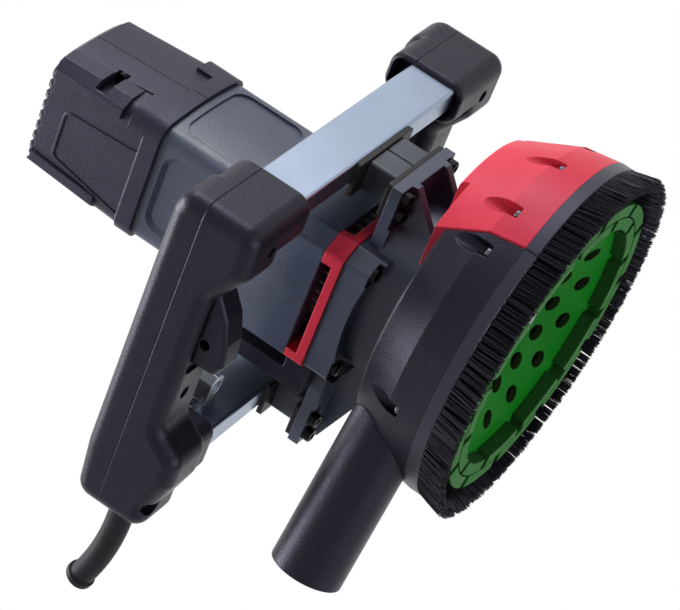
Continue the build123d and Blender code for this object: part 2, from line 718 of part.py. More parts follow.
def case_section(grow, z):
    half = CASE_HALF_X + grow
    return crowned_section(half, CASE_TOP_Y - grow, CASE_BOTTOM_Y + grow, CASE_CORNER + grow, z)


def case_slab(grow, low, high):
    return extrude(case_section(grow, low), high - low, dir=(0, 0, 1))


PANEL_LOW = SKIRT_HIGH + SKIRT_TAPER_LENGTH + PANEL_CLEAR
PANEL_HIGH = COLLAR_LOW - PANEL_CLEAR


def side_panel():
    """Sunk panel in the near side of the housing, with a sloping border."""
    height = CASE_BOTTOM_Y - CASE_TOP_Y - 2 * PANEL_MARGIN
    centre = Pos((CASE_BOTTOM_Y + CASE_TOP_Y) / 2, (PANEL_LOW + PANEL_HIGH) / 2)
    outline = RectangleRounded(height, PANEL_HIGH - PANEL_LOW, PANEL_CORNER)
    return extrude(Plane.YZ.offset(-CASE_HALF_X) * centre * outline, PANEL_DEPTH, taper=PANEL_SLOPE)


def top_recess():
    outline = RectangleRounded(2 * RECESS_HALF_X, PANEL_HIGH - PANEL_LOW, RECESS_CORNER)
    column = extrude(Plane.XZ * Pos(0, (PANEL_LOW + PANEL_HIGH) / 2) * outline, FAR)
    skin = case_slab(0, PANEL_LOW, PANEL_HIGH) - case_slab(-RECESS_DEPTH, PANEL_LOW, PANEL_HIGH)
    return skin & column


def motor_housing():
    skirt = chamfer(body_slab(0, HOUSING_LOW, SKIRT_HIGH).edges().group_by(Axis.Z)[0], SKIRT_EDGE)
    taper_end = body_section(-SKIRT_TAPER, SKIRT_HIGH + SKIRT_TAPER_LENGTH)
    neck = loft([body_section(0, SKIRT_HIGH), taper_end], ruled=True)
    shell = skirt.fuse(neck, case_slab(0, SKIRT_HIGH, HOUSING_HIGH))
    panel = side_panel()
    shell = shell - panel - mirrored(panel) - top_recess()
    spigot = rod(SPIGOT_RADIUS, HOUSING_HIGH, SPIGOT_HIGH, MOTOR_AXIS)
    fan_space = rod(FAN_SPACE_RADIUS, HOUSING_LOW, FAN_SPACE_HIGH, MOTOR_AXIS)
    bore = rod(MOTOR_BORE_RADIUS, HOUSING_LOW, HOUSING_HIGH - BODY_WALL, MOTOR_AXIS)
    rear_space = rod(SPIGOT_RADIUS - BODY_WALL, HOUSING_LOW, SPIGOT_HIGH, MOTOR_AXIS)
    seat_outer = REAR_BEARING_RADIUS + BODY_WALL
    seat = tube(seat_outer, REAR_BEARING_RADIUS, REAR_BEARING_LOW, SPIGOT_HIGH, MOTOR_AXIS)
    reach = (REAR_BEARING_RADIUS + SPIDER_OVERLAP, SPIGOT_RADIUS - SPIDER_OVERLAP)
    spoke = block(reach, (-SPIDER_WIDTH / 2, SPIDER_WIDTH / 2), (REAR_BEARING_LOW, SPIGOT_HIGH))
    arms = [Pos(0, MOTOR_Y, 0) * Rot(0, 0, angle) * spoke for angle in (45, 135, 225, 315)]
    return (shell + spigot - fan_space - bore - rear_space).fuse(seat, *arms)


def field_core():
    ring = tube(MOTOR_BORE_RADIUS - SEAT_FIT, CORE_RADIUS + AIR_GAP, CORE_LOW, CORE_HIGH)
    depth = (0, MOTOR_BORE_RADIUS - FIELD_YOKE)
    window = block((-FIELD_WINDOW / 2, FIELD_WINDOW / 2), depth, (CORE_LOW, CORE_HIGH))
    return Pos(0, MOTOR_Y, 0) * (ring - window - mirror(window, about=Plane.XZ))


def field_coils():
    solids = []
    for low, high in ((CORE_LOW - COIL_LENGTH, CORE_LOW), (CORE_HIGH, CORE_HIGH + COIL_LENGTH)):
        ring = tube(MOTOR_BORE_RADIUS - COIL_CLEAR, CORE_RADIUS + COIL_CLEAR, low, high)
        gap = block((-FAR, FAR), (-COIL_SPLIT / 2, COIL_SPLIT / 2), (low, high))
        for solid in (ring - gap).solids():
            solids.append(Pos(0, MOTOR_Y, 0) * solid)
    return group(solids)


CARBON_LEVEL = (COMMUTATOR_LOW + COMMUTATOR_HIGH) / 2 + CARBON_RISE


def brush_pair(make):
    left = make()
    return group([left, mirrored(left)])


def brush_bar(x, half):
    """Bar along X at the level of the carbon brushes."""
    return block(x, (MOTOR_Y - half, MOTOR_Y + half), (CARBON_LEVEL - half, CARBON_LEVEL + half))


def carbon_brush():
    bar = brush_bar((-COMMUTATOR_RADIUS - CARBON_LENGTH, 0), CARBON_WIDTH / 2)
    cut = rod(COMMUTATOR_RADIUS + SLIDE_GAP, 0, FAR, MOTOR_AXIS)
    return bar - cut


def brush_holder():
    inner = CARBON_WIDTH / 2 + SEAT_FIT
    x = (BODY_WALL + SLIDE_GAP - SPIGOT_RADIUS, -COMMUTATOR_RADIUS - HOLDER_CLEAR)
    return brush_bar(x, inner + HOLDER_WALL) - brush_bar(x, inner)


def armature_bearings():
    front_high = RING_BOSS_LOW + FRONT_BEARING_WIDTH
    front = bearing(FRONT_BEARING_RADIUS, SHAFT_RADIUS, RING_BOSS_LOW, front_high, MOTOR_AXIS)
    rear = bearing(REAR_BEARING_RADIUS, SHAFT_TAIL_RADIUS, REAR_BEARING_LOW, SPIGOT_HIGH, MOTOR_AXIS)
    return group([front, rear])


# Rear cover
def cover_form(grow):
    low = case_section(COVER_PROUD + grow, COLLAR_LOW)
    high = crowned_section(COVER_END_HALF_X + grow, COVER_END_TOP_Y - grow, COVER_END_BOTTOM_Y + grow,
                           CASE_CORNER + COVER_PROUD + grow, COVER_TOP)
    return loft([low, high], ruled=True)


def cover_edges(z):
    """Half width, top and bottom of the cover at a height."""
    share = (z - COLLAR_LOW) / (COVER_TOP - COLLAR_LOW)

    def between(low, high):
        return low + share * (high - low)
    return (between(CASE_HALF_X + COVER_PROUD, COVER_END_HALF_X),
            between(CASE_TOP_Y - COVER_PROUD, COVER_END_TOP_Y),
            between(CASE_BOTTOM_Y + COVER_PROUD, COVER_END_BOTTOM_Y))


def cover_screw_lines():
    """Height of each cover screw in Y, with the direction that leads out of the cover."""
    half, upper, lower = cover_edges(COVER_SCREW_Z)
    return [(upper + COVER_SCREW_DEPTH, -1), (lower - COVER_SCREW_DEPTH, 1)]


def rail_section(out, z):
    half, upper, lower = cover_edges(z)
    edge = upper if out < 0 else lower
    side = -half - RAIL_PROUD
    points = [(-RAIL_INNER_X, edge), (-RAIL_SLOPE_X, edge), (side, edge - out * RAIL_SHOULDER),
              (side, edge - out * RAIL_SIDE), (COVER_WALL - half, edge - out * RAIL_SIDE),
              (-RAIL_INNER_X, edge - out * COVER_WALL)]
    return Pos(0, 0, z) * fillet(Polygon(*points, align=None).vertices(), RAIL_ROUNDING)


def corner_rail(out):
    """Sloping rail over the near upper or lower corner, from its stop to the rear end."""
    return loft([rail_section(out, RAIL_LOW), rail_section(out, COVER_TOP - COVER_RIM)], ruled=True)


def rail_grooves():
    """Fine grooves in the top and bottom faces along the inner sides of the rails."""
    points = [(-GROOVE_LOW_X, GROOVE_LOW), (-GROOVE_LOW_X - GROOVE_WIDTH, GROOVE_LOW),
              (-GROOVE_HIGH_X - GROOVE_WIDTH, GROOVE_HIGH), (-GROOVE_HIGH_X, GROOVE_HIGH)]
    line = extrude(Plane.XZ * Polygon(*points, align=None), FAR, both=True)
    return line & (cover_form(0) - cover_form(-GROOVE_DEPTH))


def side_beads():
    """Bead round a field on each side that runs out under the collar."""
    corners = [(BEAD_FRONT_Y[0], COLLAR_LOW), (BEAD_REAR_Y[0], BEAD_REAR),
               (BEAD_REAR_Y[1], BEAD_REAR), (BEAD_FRONT_Y[1], COLLAR_LOW)]
    outline = fillet(Polygon(*corners, align=None).vertices(), BEAD_CORNER)
    loop = outline - offset(outline, -BEAD_WIDTH)
    return extrude(Plane.YZ * loop, FAR, both=True) & (cover_form(BEAD_PROUD) - cover_form(-COVER_WALL / 2))


def collar_pads():
    low = COLLAR_LOW + COLLAR_HEIGHT
    pad = case_slab(COVER_PROUD + COLLAR_PROUD, low - COLLAR_EDGE, low + PAD_LENGTH)
    pad = pad & block((RAIL_INNER_X, FAR), (-FAR, CASE_TOP_Y + PAD_DROP), (0, FAR))
    return [pad, mirrored(pad)]


def rear_corner_cut():
    corners = [(COVER_END_BOTTOM_Y - REAR_CUT_Y, COVER_TOP), (COVER_END_BOTTOM_Y + REAR_CUT_Y, COVER_TOP),
               (COVER_END_BOTTOM_Y + REAR_CUT_Y, COVER_TOP - 2 * REAR_CUT_Z)]
    return extrude(Plane.YZ * Polygon(*corners, align=None), FAR, both=True)


def screw_seat(shell, y, out):
    """Adds the boss of a cover screw and sinks the slot that leads to its head."""
    half = COVER_SCREW_HEAD_RADIUS + HOLE_GAP
    reach = COVER_SCREW_X + COVER_SCREW_HEAD + COVER_WALL
    boss = block((-FAR, reach), (y - half - COVER_WALL, y + half + COVER_WALL),
                 (COVER_SCREW_Z - half - COVER_WALL, COVER_SCREW_Z + half + COVER_WALL))
    slot = block((-COVER_SLOT_END, -COVER_SCREW_X), sorted((y, y + out * FAR)),
                 (COVER_SCREW_Z - half, COVER_SCREW_Z + half))
    way = rod_x(half, -COVER_SLOT_END, -COVER_SCREW_X, y, COVER_SCREW_Z)
    hole = rod_x(COVER_SCREW_RADIUS + HOLE_GAP, -COVER_SCREW_X, COVER_SCREW_X, y, COVER_SCREW_Z)
    return shell + (boss & cover_form(0)) - slot - way - hole


def rear_cover():
    collar = case_slab(COVER_PROUD + COLLAR_PROUD, COLLAR_LOW, COLLAR_LOW + COLLAR_HEIGHT)
    collar = chamfer(collar.edges().group_by(Axis.Z)[-1], COLLAR_EDGE)
    form = cover_form(0)
    form = chamfer(form.edges().group_by(Axis.Z)[-1], COVER_RIM)
    form = form.fuse(collar, corner_rail(-1), corner_rail(1), *collar_pads(), *side_beads().solids())
    form = form - rail_grooves() - rear_corner_cut()
    inside = cover_form(-COVER_WALL) & block((-FAR, FAR), (-FAR, FAR), (0, COVER_TOP - COVER_END))
    shell = form - inside - case_slab(SEAT_FIT, COLLAR_LOW, HOUSING_HIGH)
    for y, out in cover_screw_lines():
        shell = screw_seat(shell, y, out)
    first = (COVER_END_TOP_Y + COVER_END_BOTTOM_Y - (LOUVRE_COUNT - 1) * LOUVRE_PITCH) / 2
    for number in range(LOUVRE_COUNT):
        low = first + number * LOUVRE_PITCH - LOUVRE_WIDTH / 2
        shell -= block((-FAR, FAR), (low, low + LOUVRE_WIDTH), (COVER_TOP - COVER_END, FAR))
    return shell


def rear_cover_halves():
    whole = rear_cover()
    left = whole & block((-FAR, 0), (-FAR, FAR), (0, FAR))
    right = whole & block((0, FAR), (-FAR, FAR), (0, FAR))
    return left, right


def rear_cover_screws():
    screws = []
    for y, out in cover_screw_lines():
        screw = pan_screw(2 * COVER_SCREW_X - SCREW_SHORT, (0, 0), 0, COVER_SCREW_RADIUS,
                          COVER_SCREW_HEAD_RADIUS, COVER_SCREW_HEAD)
        screws.append(Pos(-COVER_SCREW_X, y, COVER_SCREW_Z) * Rot(0, -90, 0) * screw)
    return group(screws)


# Fan ring and gear housing
def fan_ring():
    plate = body_slab(0, RING_LOW, RING_HIGH)
    posts = body_slab(0, RING_HIGH, HOUSING_LOW) - rod(FAN_SPACE_RADIUS, RING_HIGH, HOUSING_LOW, MOTOR_AXIS)
    upper = BODY_TOP_Y + POST_WIDTH_NEAR_TOP
    lower = BODY_BOTTOM_Y - POST_WIDTH_NEAR_BOTTOM
    posts -= block((-FAR, FAR), (upper, lower), (RING_HIGH, FAR))
    half = BODY_HALF_X - POST_WIDTH_NEAR_TOP
    posts -= block((-half, half), (-FAR, FAR), (RING_HIGH, FAR))
    boss = rod(FRONT_BEARING_RADIUS + BODY_WALL, RING_BOSS_LOW, RING_LOW, MOTOR_AXIS)
    spindle_boss = rod(TOP_BEARING_RADIUS + BODY_WALL, RING_BOSS_LOW, RING_LOW)
    ring = plate.fuse(boss, spindle_boss, *posts.solids())
    ring -= rod(FRONT_BEARING_RADIUS, RING_BOSS_LOW, RING_BOSS_LOW + FRONT_BEARING_WIDTH, MOTOR_AXIS)
    ring -= rod(SHAFT_RADIUS + SLIDE_GAP, RING_LOW, HOUSING_LOW, MOTOR_AXIS)
    ring -= rod(TOP_BEARING_RADIUS, RING_BOSS_LOW, RING_BOSS_LOW + TOP_BEARING_WIDTH)
    for place in corner_screw_places():
        ring -= rod(SCREW_RADIUS + HOLE_GAP, RING_LOW, RING_HIGH, place)
    return ring


def corner_screw_places():
    x = BODY_HALF_X - CORNER_SCREW_INSET_X
    heights = (BODY_TOP_Y + CORNER_SCREW_INSET_Y, BODY_BOTTOM_Y - CORNER_SCREW_INSET_Y)
    return [(side * x, y) for side in (-1, 1) for y in heights]


def arm(name):
    """Bracket arm with its two gussets."""
    edge, inward = FRAME_SIDES[name]
    end, root, foot, low = ARM_PLACES[name]
    plate = block((-ARM_HALF_X, ARM_HALF_X), sorted((root, end)), (ARM_LOW, ARM_HIGH))
    land = sorted((edge + inward * (BUFFER_DEPTH + ARM_SEAT_CLEAR), edge - inward * FAR))
    seat = block((ARM_SEAT_X, FAR), land, (0, ARM_LOW + ARM_SEAT_DEPTH))
    plate = plate - seat - mirrored(seat)
    high = (ARM_LOW + ARM_HIGH) / 2
    corners = [(foot, low), (foot, high), (end, high), (end, ARM_LOW - GUSSET_LIP)]
    side = Plane.YZ * Polygon(*corners, align=None)
    gusset = Pos(GUSSET_INNER, 0, 0) * extrude(side, GUSSET_THICKNESS)
    return plate.fuse(gusset, mirrored(gusset))


def gear_housing():
    grow = -GEARCASE_INSET
    case = body_slab(grow, GEARCASE_LOW, RING_LOW)
    arch = rod_x(ARCH_RADIUS, -FAR, FAR, MOTOR_Y, ARCH_HEIGHT - ARCH_RADIUS)
    case -= arch
    for x, y in corner_screw_places():
        pocket = rod(CORNER_POCKET_RADIUS, 0, GEARCASE_LOW + CORNER_POCKET_DEPTH, (x, y))
        out = 2 * CORNER_POCKET_RADIUS
        side = block(sorted((x, x + out * (1 if x > 0 else -1))),
                     (y - CORNER_POCKET_RADIUS, y + CORNER_POCKET_RADIUS),
                     (0, GEARCASE_LOW + CORNER_POCKET_DEPTH))
        case = case - pocket - side
    neck_high = ARCH_HEIGHT + NECK_ROOT
    neck = rod(NECK_HALF_X, HOOD_TOP_HEIGHT, neck_high)
    neck_box = block((-NECK_HALF_X, NECK_HALF_X), (0, NECK_LENGTH), (HOOD_TOP_HEIGHT, neck_high))
    neck_box = chamfer(neck_box.edges().filter_by(Axis.Z).sort_by(Axis.Y)[-2:], NECK_BEVEL)
    body = case.fuse(neck, neck_box, arm("upper"), arm("lower"))
    gear_tip = GEAR_MODULE * (GEAR_TEETH / 2 + TOOTH_ADDENDUM)
    body -= rod(gear_tip + GEAR_ROOM, SPINDLE_BEARING_HIGH, GEAR_HIGH + GEAR_ROOM)
    body -= rod(TOP_BEARING_RADIUS + BODY_WALL + SLIDE_GAP, GEAR_HIGH, RING_LOW)
    body -= rod(FRONT_BEARING_RADIUS + BODY_WALL + SLIDE_GAP, PINION_LOW - PINION_ROOM, RING_LOW, MOTOR_AXIS)
    body -= rod(SPINDLE_BEARING_RADIUS, HOOD_TOP_HEIGHT, SPINDLE_BEARING_HIGH)
    for x, y in corner_screw_places():
        body -= rod(SCREW_RADIUS + HOLE_GAP, 0, RING_LOW, (x, y))
    for angle in HOOD_SCREW_ANGLES:
        place = around(angle, HOOD_SCREW_PITCH)
        body -= rod(SCREW_RADIUS + HOLE_GAP, HOOD_TOP_HEIGHT, HOOD_TOP_HEIGHT + HOOD_SCREW_GRIP, place)
    for x, y in arm_bolt_places():
        body -= rod(ARM_BOLT_RADIUS + HOLE_GAP, ARM_LOW, ARM_HIGH, (x, y))
    return body


def arm_bolt_places():
    places = []
    for x in (-ARM_BOLT_X, ARM_BOLT_X):
        for edge, inward in FRAME_SIDES.values():
            places.append((x, edge + inward * ARM_BOLT_INSET))
            places.append((x, edge + inward * (BUFFER_DEPTH - ARM_BOLT_INSET)))
    return places


def gear_housing_screws():
    screws = []
    for x, y in corner_screw_places():
        seat = GEARCASE_LOW + CORNER_POCKET_DEPTH
        screw = pan_screw(RING_HIGH - seat - SCREW_SHORT, (0, 0), 0)
        screws.append(Pos(x, y, seat) * Rot(180, 0, 0) * screw)
    return group(screws)


def spindle_bearings():
    lower = bearing(SPINDLE_BEARING_RADIUS, SPINDLE_RADIUS, SPINDLE_BEARING_LOW, SPINDLE_BEARING_HIGH)
    upper = bearing(TOP_BEARING_RADIUS, SPINDLE_TOP_RADIUS, RING_BOSS_LOW, RING_BOSS_LOW + TOP_BEARING_WIDTH)
    return group([lower, upper])


# Hood
def hood_outline(proud, top):
    """Outer profile from the rim up to the given height, outside the hood by the given amount."""
    lean = (HOOD_CREASE_RADIUS - HOOD_TOP_RADIUS) / (HOOD_TOP_HEIGHT - HOOD_CREASE_HEIGHT)
    crown = HOOD_CREASE_RADIUS - lean * (top - HOOD_CREASE_HEIGHT)
    return [(0, BAND_TOP), (BRUSH_OUTER_RADIUS + proud, BAND_TOP),
            (HOOD_CREASE_RADIUS + proud, HOOD_CREASE_HEIGHT), (crown + proud, top), (0, top)]


def hood_form(proud, top):
    form = spun(hood_outline(proud, top))
    edges = form.edges().filter_by(GeomType.CIRCLE).sort_by(Axis.Z)
    return fillet(edges[-1], HOOD_SOFT_EDGE)


def hood_space(proud, top):
    outline = hood_outline(proud - HOOD_WALL, top - HOOD_WALL)
    raised = [(r, z + HOOD_WALL if z == BAND_TOP else z) for r, z in outline]
    throat = rod(BRUSH_INNER_RADIUS + proud, 0, BAND_TOP + HOOD_WALL)
    return spun(raised) + throat


def pocket_places(angles, proud):
    return [around(angle, POCKET_PITCH + proud) for angle in angles]


def pocketed(shell, form, angles, proud):
    """Adds a boss for each brush screw and sinks the scooped pocket for its head."""
    for place in pocket_places(angles, proud):
        boss = rod(POCKET_RADIUS + HOOD_WALL, BAND_TOP, HOOD_CREASE_HEIGHT + POCKET_RISE, place) & form
        shell = shell + boss - rod(POCKET_RADIUS, POCKET_FLOOR, FAR, place)
        shell -= rod(BRUSH_SCREW_RADIUS + HOLE_GAP, 0, FAR, place)
    return shell


def port_rod(radius, start, end):
    """Rod along the dust port, from and to distances measured from abreast of the spindle."""
    side = around(PORT_TURN + 180, PORT_OFFSET)
    along = Pos(side[0], side[1], PORT_HEIGHT) * Rot(0, 0, PORT_TURN) * Rot(-90, 0, 0)
    return along * Pos(0, 0, start) * Cylinder(radius, end - start, align=BASE)


def edge_opening(gap):
    return block((-EDGE_HALF_WIDTH - gap, EDGE_HALF_WIDTH + gap), (-FAR, EDGE_REAR + gap), (0, FAR))


def dust_hood():
    form = hood_form(0, HOOD_TOP_HEIGHT)
    shell = form - hood_space(0, HOOD_TOP_HEIGHT)
    shell = pocketed(shell, form, HOOD_POCKETS, 0)
    shell -= edge_opening(SLIDE_GAP)
    prong = block(prong_span(), (EDGE_REAR - PRONG_REACH, EDGE_REAR + PRONG_ROOT),
                  (HOOD_TOP_HEIGHT - HOOD_WALL, PRONG_TOP))
    prong -= block((-FAR, FAR), (EDGE_REAR + SLIDE_GAP, FAR), (HOOD_TOP_HEIGHT, FAR))
    shell = shell.fuse(prong, mirrored(prong))
    shell -= rod(HOOD_BORE_RADIUS, BAND_TOP, FAR)
    shell -= port_rod(PORT_RADIUS - PORT_WALL, PORT_OFFSET, PORT_REACH)
    for angle in HOOD_SCREW_ANGLES:
        shell -= rod(SCREW_RADIUS + HOLE_GAP, BAND_TOP, FAR, around(angle, HOOD_SCREW_PITCH))
    return shell


PRONG_TOP = EDGE_SHOULDER_HEIGHT - HOOD_WALL - SLIDE_GAP


def prong_span():
    outer = EDGE_HALF_WIDTH - HOOD_WALL - SLIDE_GAP
    return outer - PRONG_WIDTH, outer


def dust_port():
    bore = port_rod(PORT_RADIUS - PORT_WALL, 0, PORT_REACH)
    pipe = port_rod(PORT_RADIUS, PORT_OFFSET, PORT_REACH) - bore
    return pipe - hood_form(0, HOOD_TOP_HEIGHT)


def edge_segment():
    wide = EDGE_HALF_WIDTH
    ridge = EDGE_RIDGE_HALF_WIDTH
    low_front = block((-wide, wide), (-FAR, EDGE_REAR), (0, EDGE_SHOULDER_HEIGHT))
    high_front = block((-ridge, ridge), (-FAR, EDGE_REAR), (0, EDGE_RIDGE_HEIGHT))
    form = hood_form(EDGE_PROUD, EDGE_RIDGE_HEIGHT) & (low_front + high_front)
    deck = HOOD_TOP_HEIGHT - HOOD_WALL
    space = hood_space(EDGE_PROUD, EDGE_RIDGE_HEIGHT)
    below = space & block((-FAR, FAR), (-FAR, FAR), (0, deck))
    rear = EDGE_REAR - HOOD_WALL
    wide_in = wide - HOOD_WALL
    ridge_in = ridge - HOOD_WALL
    shoulder = block((-wide_in, wide_in), (-FAR, rear), (0, EDGE_SHOULDER_HEIGHT - HOOD_WALL))
    inner = block((-ridge_in, ridge_in), (-FAR, rear), (0, EDGE_RIDGE_HEIGHT - HOOD_WALL))
    shell = form - below - (space & (shoulder + inner))
    span = prong_span()
    notch = block((span[0] - SLIDE_GAP, span[1] + SLIDE_GAP), (rear, EDGE_REAR),
                  (0, PRONG_TOP + SLIDE_GAP))
    shell = shell - notch - mirrored(notch)
    outline = form & block((-wide, wide), (-FAR, EDGE_REAR), (0, FAR))
    return pocketed(shell, outline, SEGMENT_POCKETS, EDGE_PROUD)


# Brush strips
def strand(angle, radius):
    """One bristle, leaning outwards from its root in the band to its tip."""
    length = BRISTLE_LENGTH + BAND_HEIGHT / 4
    lean = STRAND_SPLAY * length / BRISTLE_LENGTH
    tip = Pos(radius + STRAND_SPLAY, 0, 0) * Rectangle(STRAND_WIDTH, STRAND_WIDTH)
    return Rot(0, 0, angle) * Solid.extrude(tip.face(), (-lean, 0, length))


def brush_strip(start, end, proud, keep, pockets):
    """Band slice with its bristles between two angles; keep says whether a bristle is inside the strip."""
    inner = BRUSH_INNER_RADIUS + proud
    outer = BRUSH_OUTER_RADIUS + proud
    corners = [(inner, BRISTLE_LENGTH), (outer, BRISTLE_LENGTH), (outer, BAND_TOP), (inner, BAND_TOP)]
    section = Plane.XZ * Polygon(*corners, align=None)
    band = Rot(0, 0, start) * revolve(section, Axis.Z, end - start)
    band = band & keep_block(keep)
    for place in pocket_places(pockets, proud):
        band -= rod(BRUSH_SCREW_RADIUS + HOLE_GAP, BRISTLE_LENGTH + BAND_HEIGHT / 4, BAND_TOP, place)
    strands = []
    step = BRUSH_WIDTH / STRAND_ROWS
    for row in range(STRAND_ROWS):
        radius = inner + (row + 0.5) * step
        margin = degrees(STRAND_WIDTH / radius)
        count = int((end - start - 2 * margin) / STRAND_PITCH_ANGLE)
        slack = (end - start - count * STRAND_PITCH_ANGLE) / 2
        shift = STRAND_PITCH_ANGLE * (row % 2) / 2
        for number in range(count):
            angle = start + slack + shift + number * STRAND_PITCH_ANGLE
            x, y = around(angle, radius)
            if inside_keep(keep, x, y):
                strands.append(strand(angle, radius))
    return band.fuse(*strands)


def keep_block(keep):
    if keep == "edge":
        return block((-EDGE_HALF_WIDTH, EDGE_HALF_WIDTH), (-FAR, 0), (0, FAR))
    whole = block((-FAR, FAR), (-FAR, FAR), (0, FAR))
    half = EDGE_HALF_WIDTH + SLIDE_GAP
    return whole - block((-half, half), (-2 * FAR, 0), (-1, FAR + 1))


def inside_keep(keep, x, y):
    if keep == "edge":
        return abs(x) < EDGE_HALF_WIDTH - STRAND_WIDTH
    return y > 0 or abs(x) > EDGE_HALF_WIDTH + SLIDE_GAP + STRAND_WIDTH


def brush_strips():
    strips = {}
    flare = degrees(asin(EDGE_HALF_WIDTH / BRUSH_OUTER_RADIUS))
    span = (360 - 2 * flare) / HOOD_STRIPS
    for number in range(HOOD_STRIPS):
        start = -90 + flare + number * span
        strips[f"brush_strip_{number + 1}"] = brush_strip(start, start + span, 0, "hood", HOOD_POCKETS)
    reach = degrees(asin(EDGE_HALF_WIDTH / (BRUSH_INNER_RADIUS + EDGE_PROUD)))
    span = 2 * reach / EDGE_STRIPS
    for number in range(EDGE_STRIPS):
        start = -90 - reach + number * span
        strip = brush_strip(start, start + span, EDGE_PROUD, "edge", SEGMENT_POCKETS)
        strips[f"edge_brush_strip_{number + 1}"] = strip
    return strips


def brush_screws(angles, proud):
    length = POCKET_FLOOR - BRISTLE_LENGTH - BAND_HEIGHT / 2
    sizes = BRUSH_SCREW_RADIUS, BRUSH_SCREW_HEAD_RADIUS, BRUSH_SCREW_HEAD
    return [pan_screw(length, place, POCKET_FLOOR, *sizes) for place in pocket_places(angles, proud)]


def hood_screws():
    screws = brush_screws(HOOD_POCKETS, 0)
    seat = HOOD_TOP_HEIGHT - HOOD_WALL
    for angle in HOOD_SCREW_ANGLES:
        x, y = around(angle, HOOD_SCREW_PITCH)
        length = HOOD_WALL + HOOD_SCREW_GRIP - SCREW_SHORT
        screw = pan_screw(length, (0, 0), 0, head_radius=HOOD_SCREW_HEAD_RADIUS)
        screws.append(Pos(x, y, seat) * Rot(180, 0, 0) * screw)
    return group(screws)


# Frame
def cross_tube(y):
    def bar(inset, length):
        section = RectangleRounded(TUBE_HEIGHT - 2 * inset, TUBE_DEPTH - 2 * inset, TUBE_CORNER - inset / 2)
        return extrude(Plane.YZ * section, length, both=True)
    pipe = bar(0, TUBE_HALF_LENGTH) - bar(TUBE_WALL, TUBE_HALF_LENGTH)
    pipe = Pos(0, y, TUBE_LOW + TUBE_DEPTH / 2) * pipe
    for x in (-TUBE_SCREW_X, TUBE_SCREW_X):
        pipe -= rod(SCREW_RADIUS + HOLE_GAP, 0, TUBE_LOW + TUBE_DEPTH / 2, (x, y))
        pipe -= rod(SCREW_HEAD_RADIUS + HOLE_GAP, TUBE_LOW + TUBE_DEPTH / 2, FAR, (x, y))
    return pipe


def buffer_span(edge, inward):
    return sorted((edge, edge + inward * BUFFER_DEPTH))


def rubber_buffer(name):
    low, high = buffer_span(*FRAME_SIDES[name])
    y = (low + RUBBER_INSET, high - RUBBER_INSET)
    pad = block((-RUBBER_HALF_X, RUBBER_HALF_X), y, (RUBBER_LOW, RUBBER_HIGH))
    pad = fillet(pad.edges().filter_by(Axis.Z), RUBBER_CORNER)
    seam = block((-RUBBER_SEAM / 2, RUBBER_SEAM / 2), y, (RUBBER_LOW, RUBBER_HIGH))
    core = block((-FAR, FAR), (y[0] + RUBBER_SEAM, y[1] - RUBBER_SEAM), (RUBBER_LOW, RUBBER_HIGH))
    return pad - (seam - core)


def buffer_plates():
    plates = []
    for edge, inward in FRAME_SIDES.values():
        span = buffer_span(edge, inward)
        for low in (ARM_HIGH, RUBBER_HIGH):
            plate = block((-BUFFER_HALF_X, BUFFER_HALF_X), span, (low, low + BUFFER_PLATE))
            plate = fillet(plate.edges().filter_by(Axis.Z), BUFFER_CORNER)
            for x, y in arm_bolt_places():
                plate -= rod(ARM_BOLT_RADIUS + HOLE_GAP, ARM_HIGH, RUBBER_LOW, (x, y))
            for x in (-TUBE_SCREW_X, TUBE_SCREW_X):
                for y in (UPPER_TUBE_Y, LOWER_TUBE_Y):
                    plate -= rod(SCREW_RADIUS + HOLE_GAP, RUBBER_HIGH, TUBE_LOW, (x, y))
            plates.append(plate)
    return group(plates)


def arm_bolts():
    bolts = []
    seat = ARM_LOW + ARM_SEAT_DEPTH
    for x, y in arm_bolt_places():
        head = rod(ARM_BOLT_HEAD_RADIUS, seat - ARM_BOLT_HEAD, seat)
        head = chamfer(head.edges().sort_by(Axis.Z)[0], ARM_BOLT_EDGE)
        hexagon = Pos(0, 0, seat - ARM_BOLT_HEAD) * RegularPolygon(ARM_BOLT_RADIUS, 6)
        socket = extrude(hexagon, ARM_BOLT_HEAD / 2)
        shank = rod(ARM_BOLT_RADIUS, seat, RUBBER_LOW)
        bolts.append(Pos(x, y, 0) * (head - socket + shank))
    return group(bolts)


def tube_screws():
    screws = []
    for x in (-TUBE_SCREW_X, TUBE_SCREW_X):
        for y in (UPPER_TUBE_Y, LOWER_TUBE_Y):
            screws.append(pan_screw(TUBE_WALL + BUFFER_PLATE, (x, y), TUBE_LOW + TUBE_WALL))
    return group(screws)


# Handles, modelled on the switch side at -X
def handle_outline():
    points = [(HEAD_TOP, HEAD_LOW), (HEAD_FLAT_END, HEAD_LOW), (GRIP_START, GRIP_LOW), (GRIP_END, GRIP_LOW),
              (LOBE_START, LOBE_LOW), (LOBE_END, LOBE_LOW), (TAIL_START, TAIL_LOW), (HANDLE_END, TAIL_LOW),
              (HANDLE_END, TAIL_HIGH), (HANDLE_END - TAIL_BEVEL, GRIP_HIGH),
              (HEAD_TOP + HEAD_BEVEL, GRIP_HIGH), (HEAD_TOP, HEAD_HIGH)]
    return fillet(Polygon(*points, align=None).vertices(), GRIP_CORNER)


def soft_block(x, y, z, rounding, edge):
    """Block along X with rounded long edges and a softer rounding at its end."""
    form = fillet(block(x, y, z).edges().filter_by(Axis.X), rounding)
    return fillet(form.faces().sort_by(Axis.X)[-1].edges(), edge)


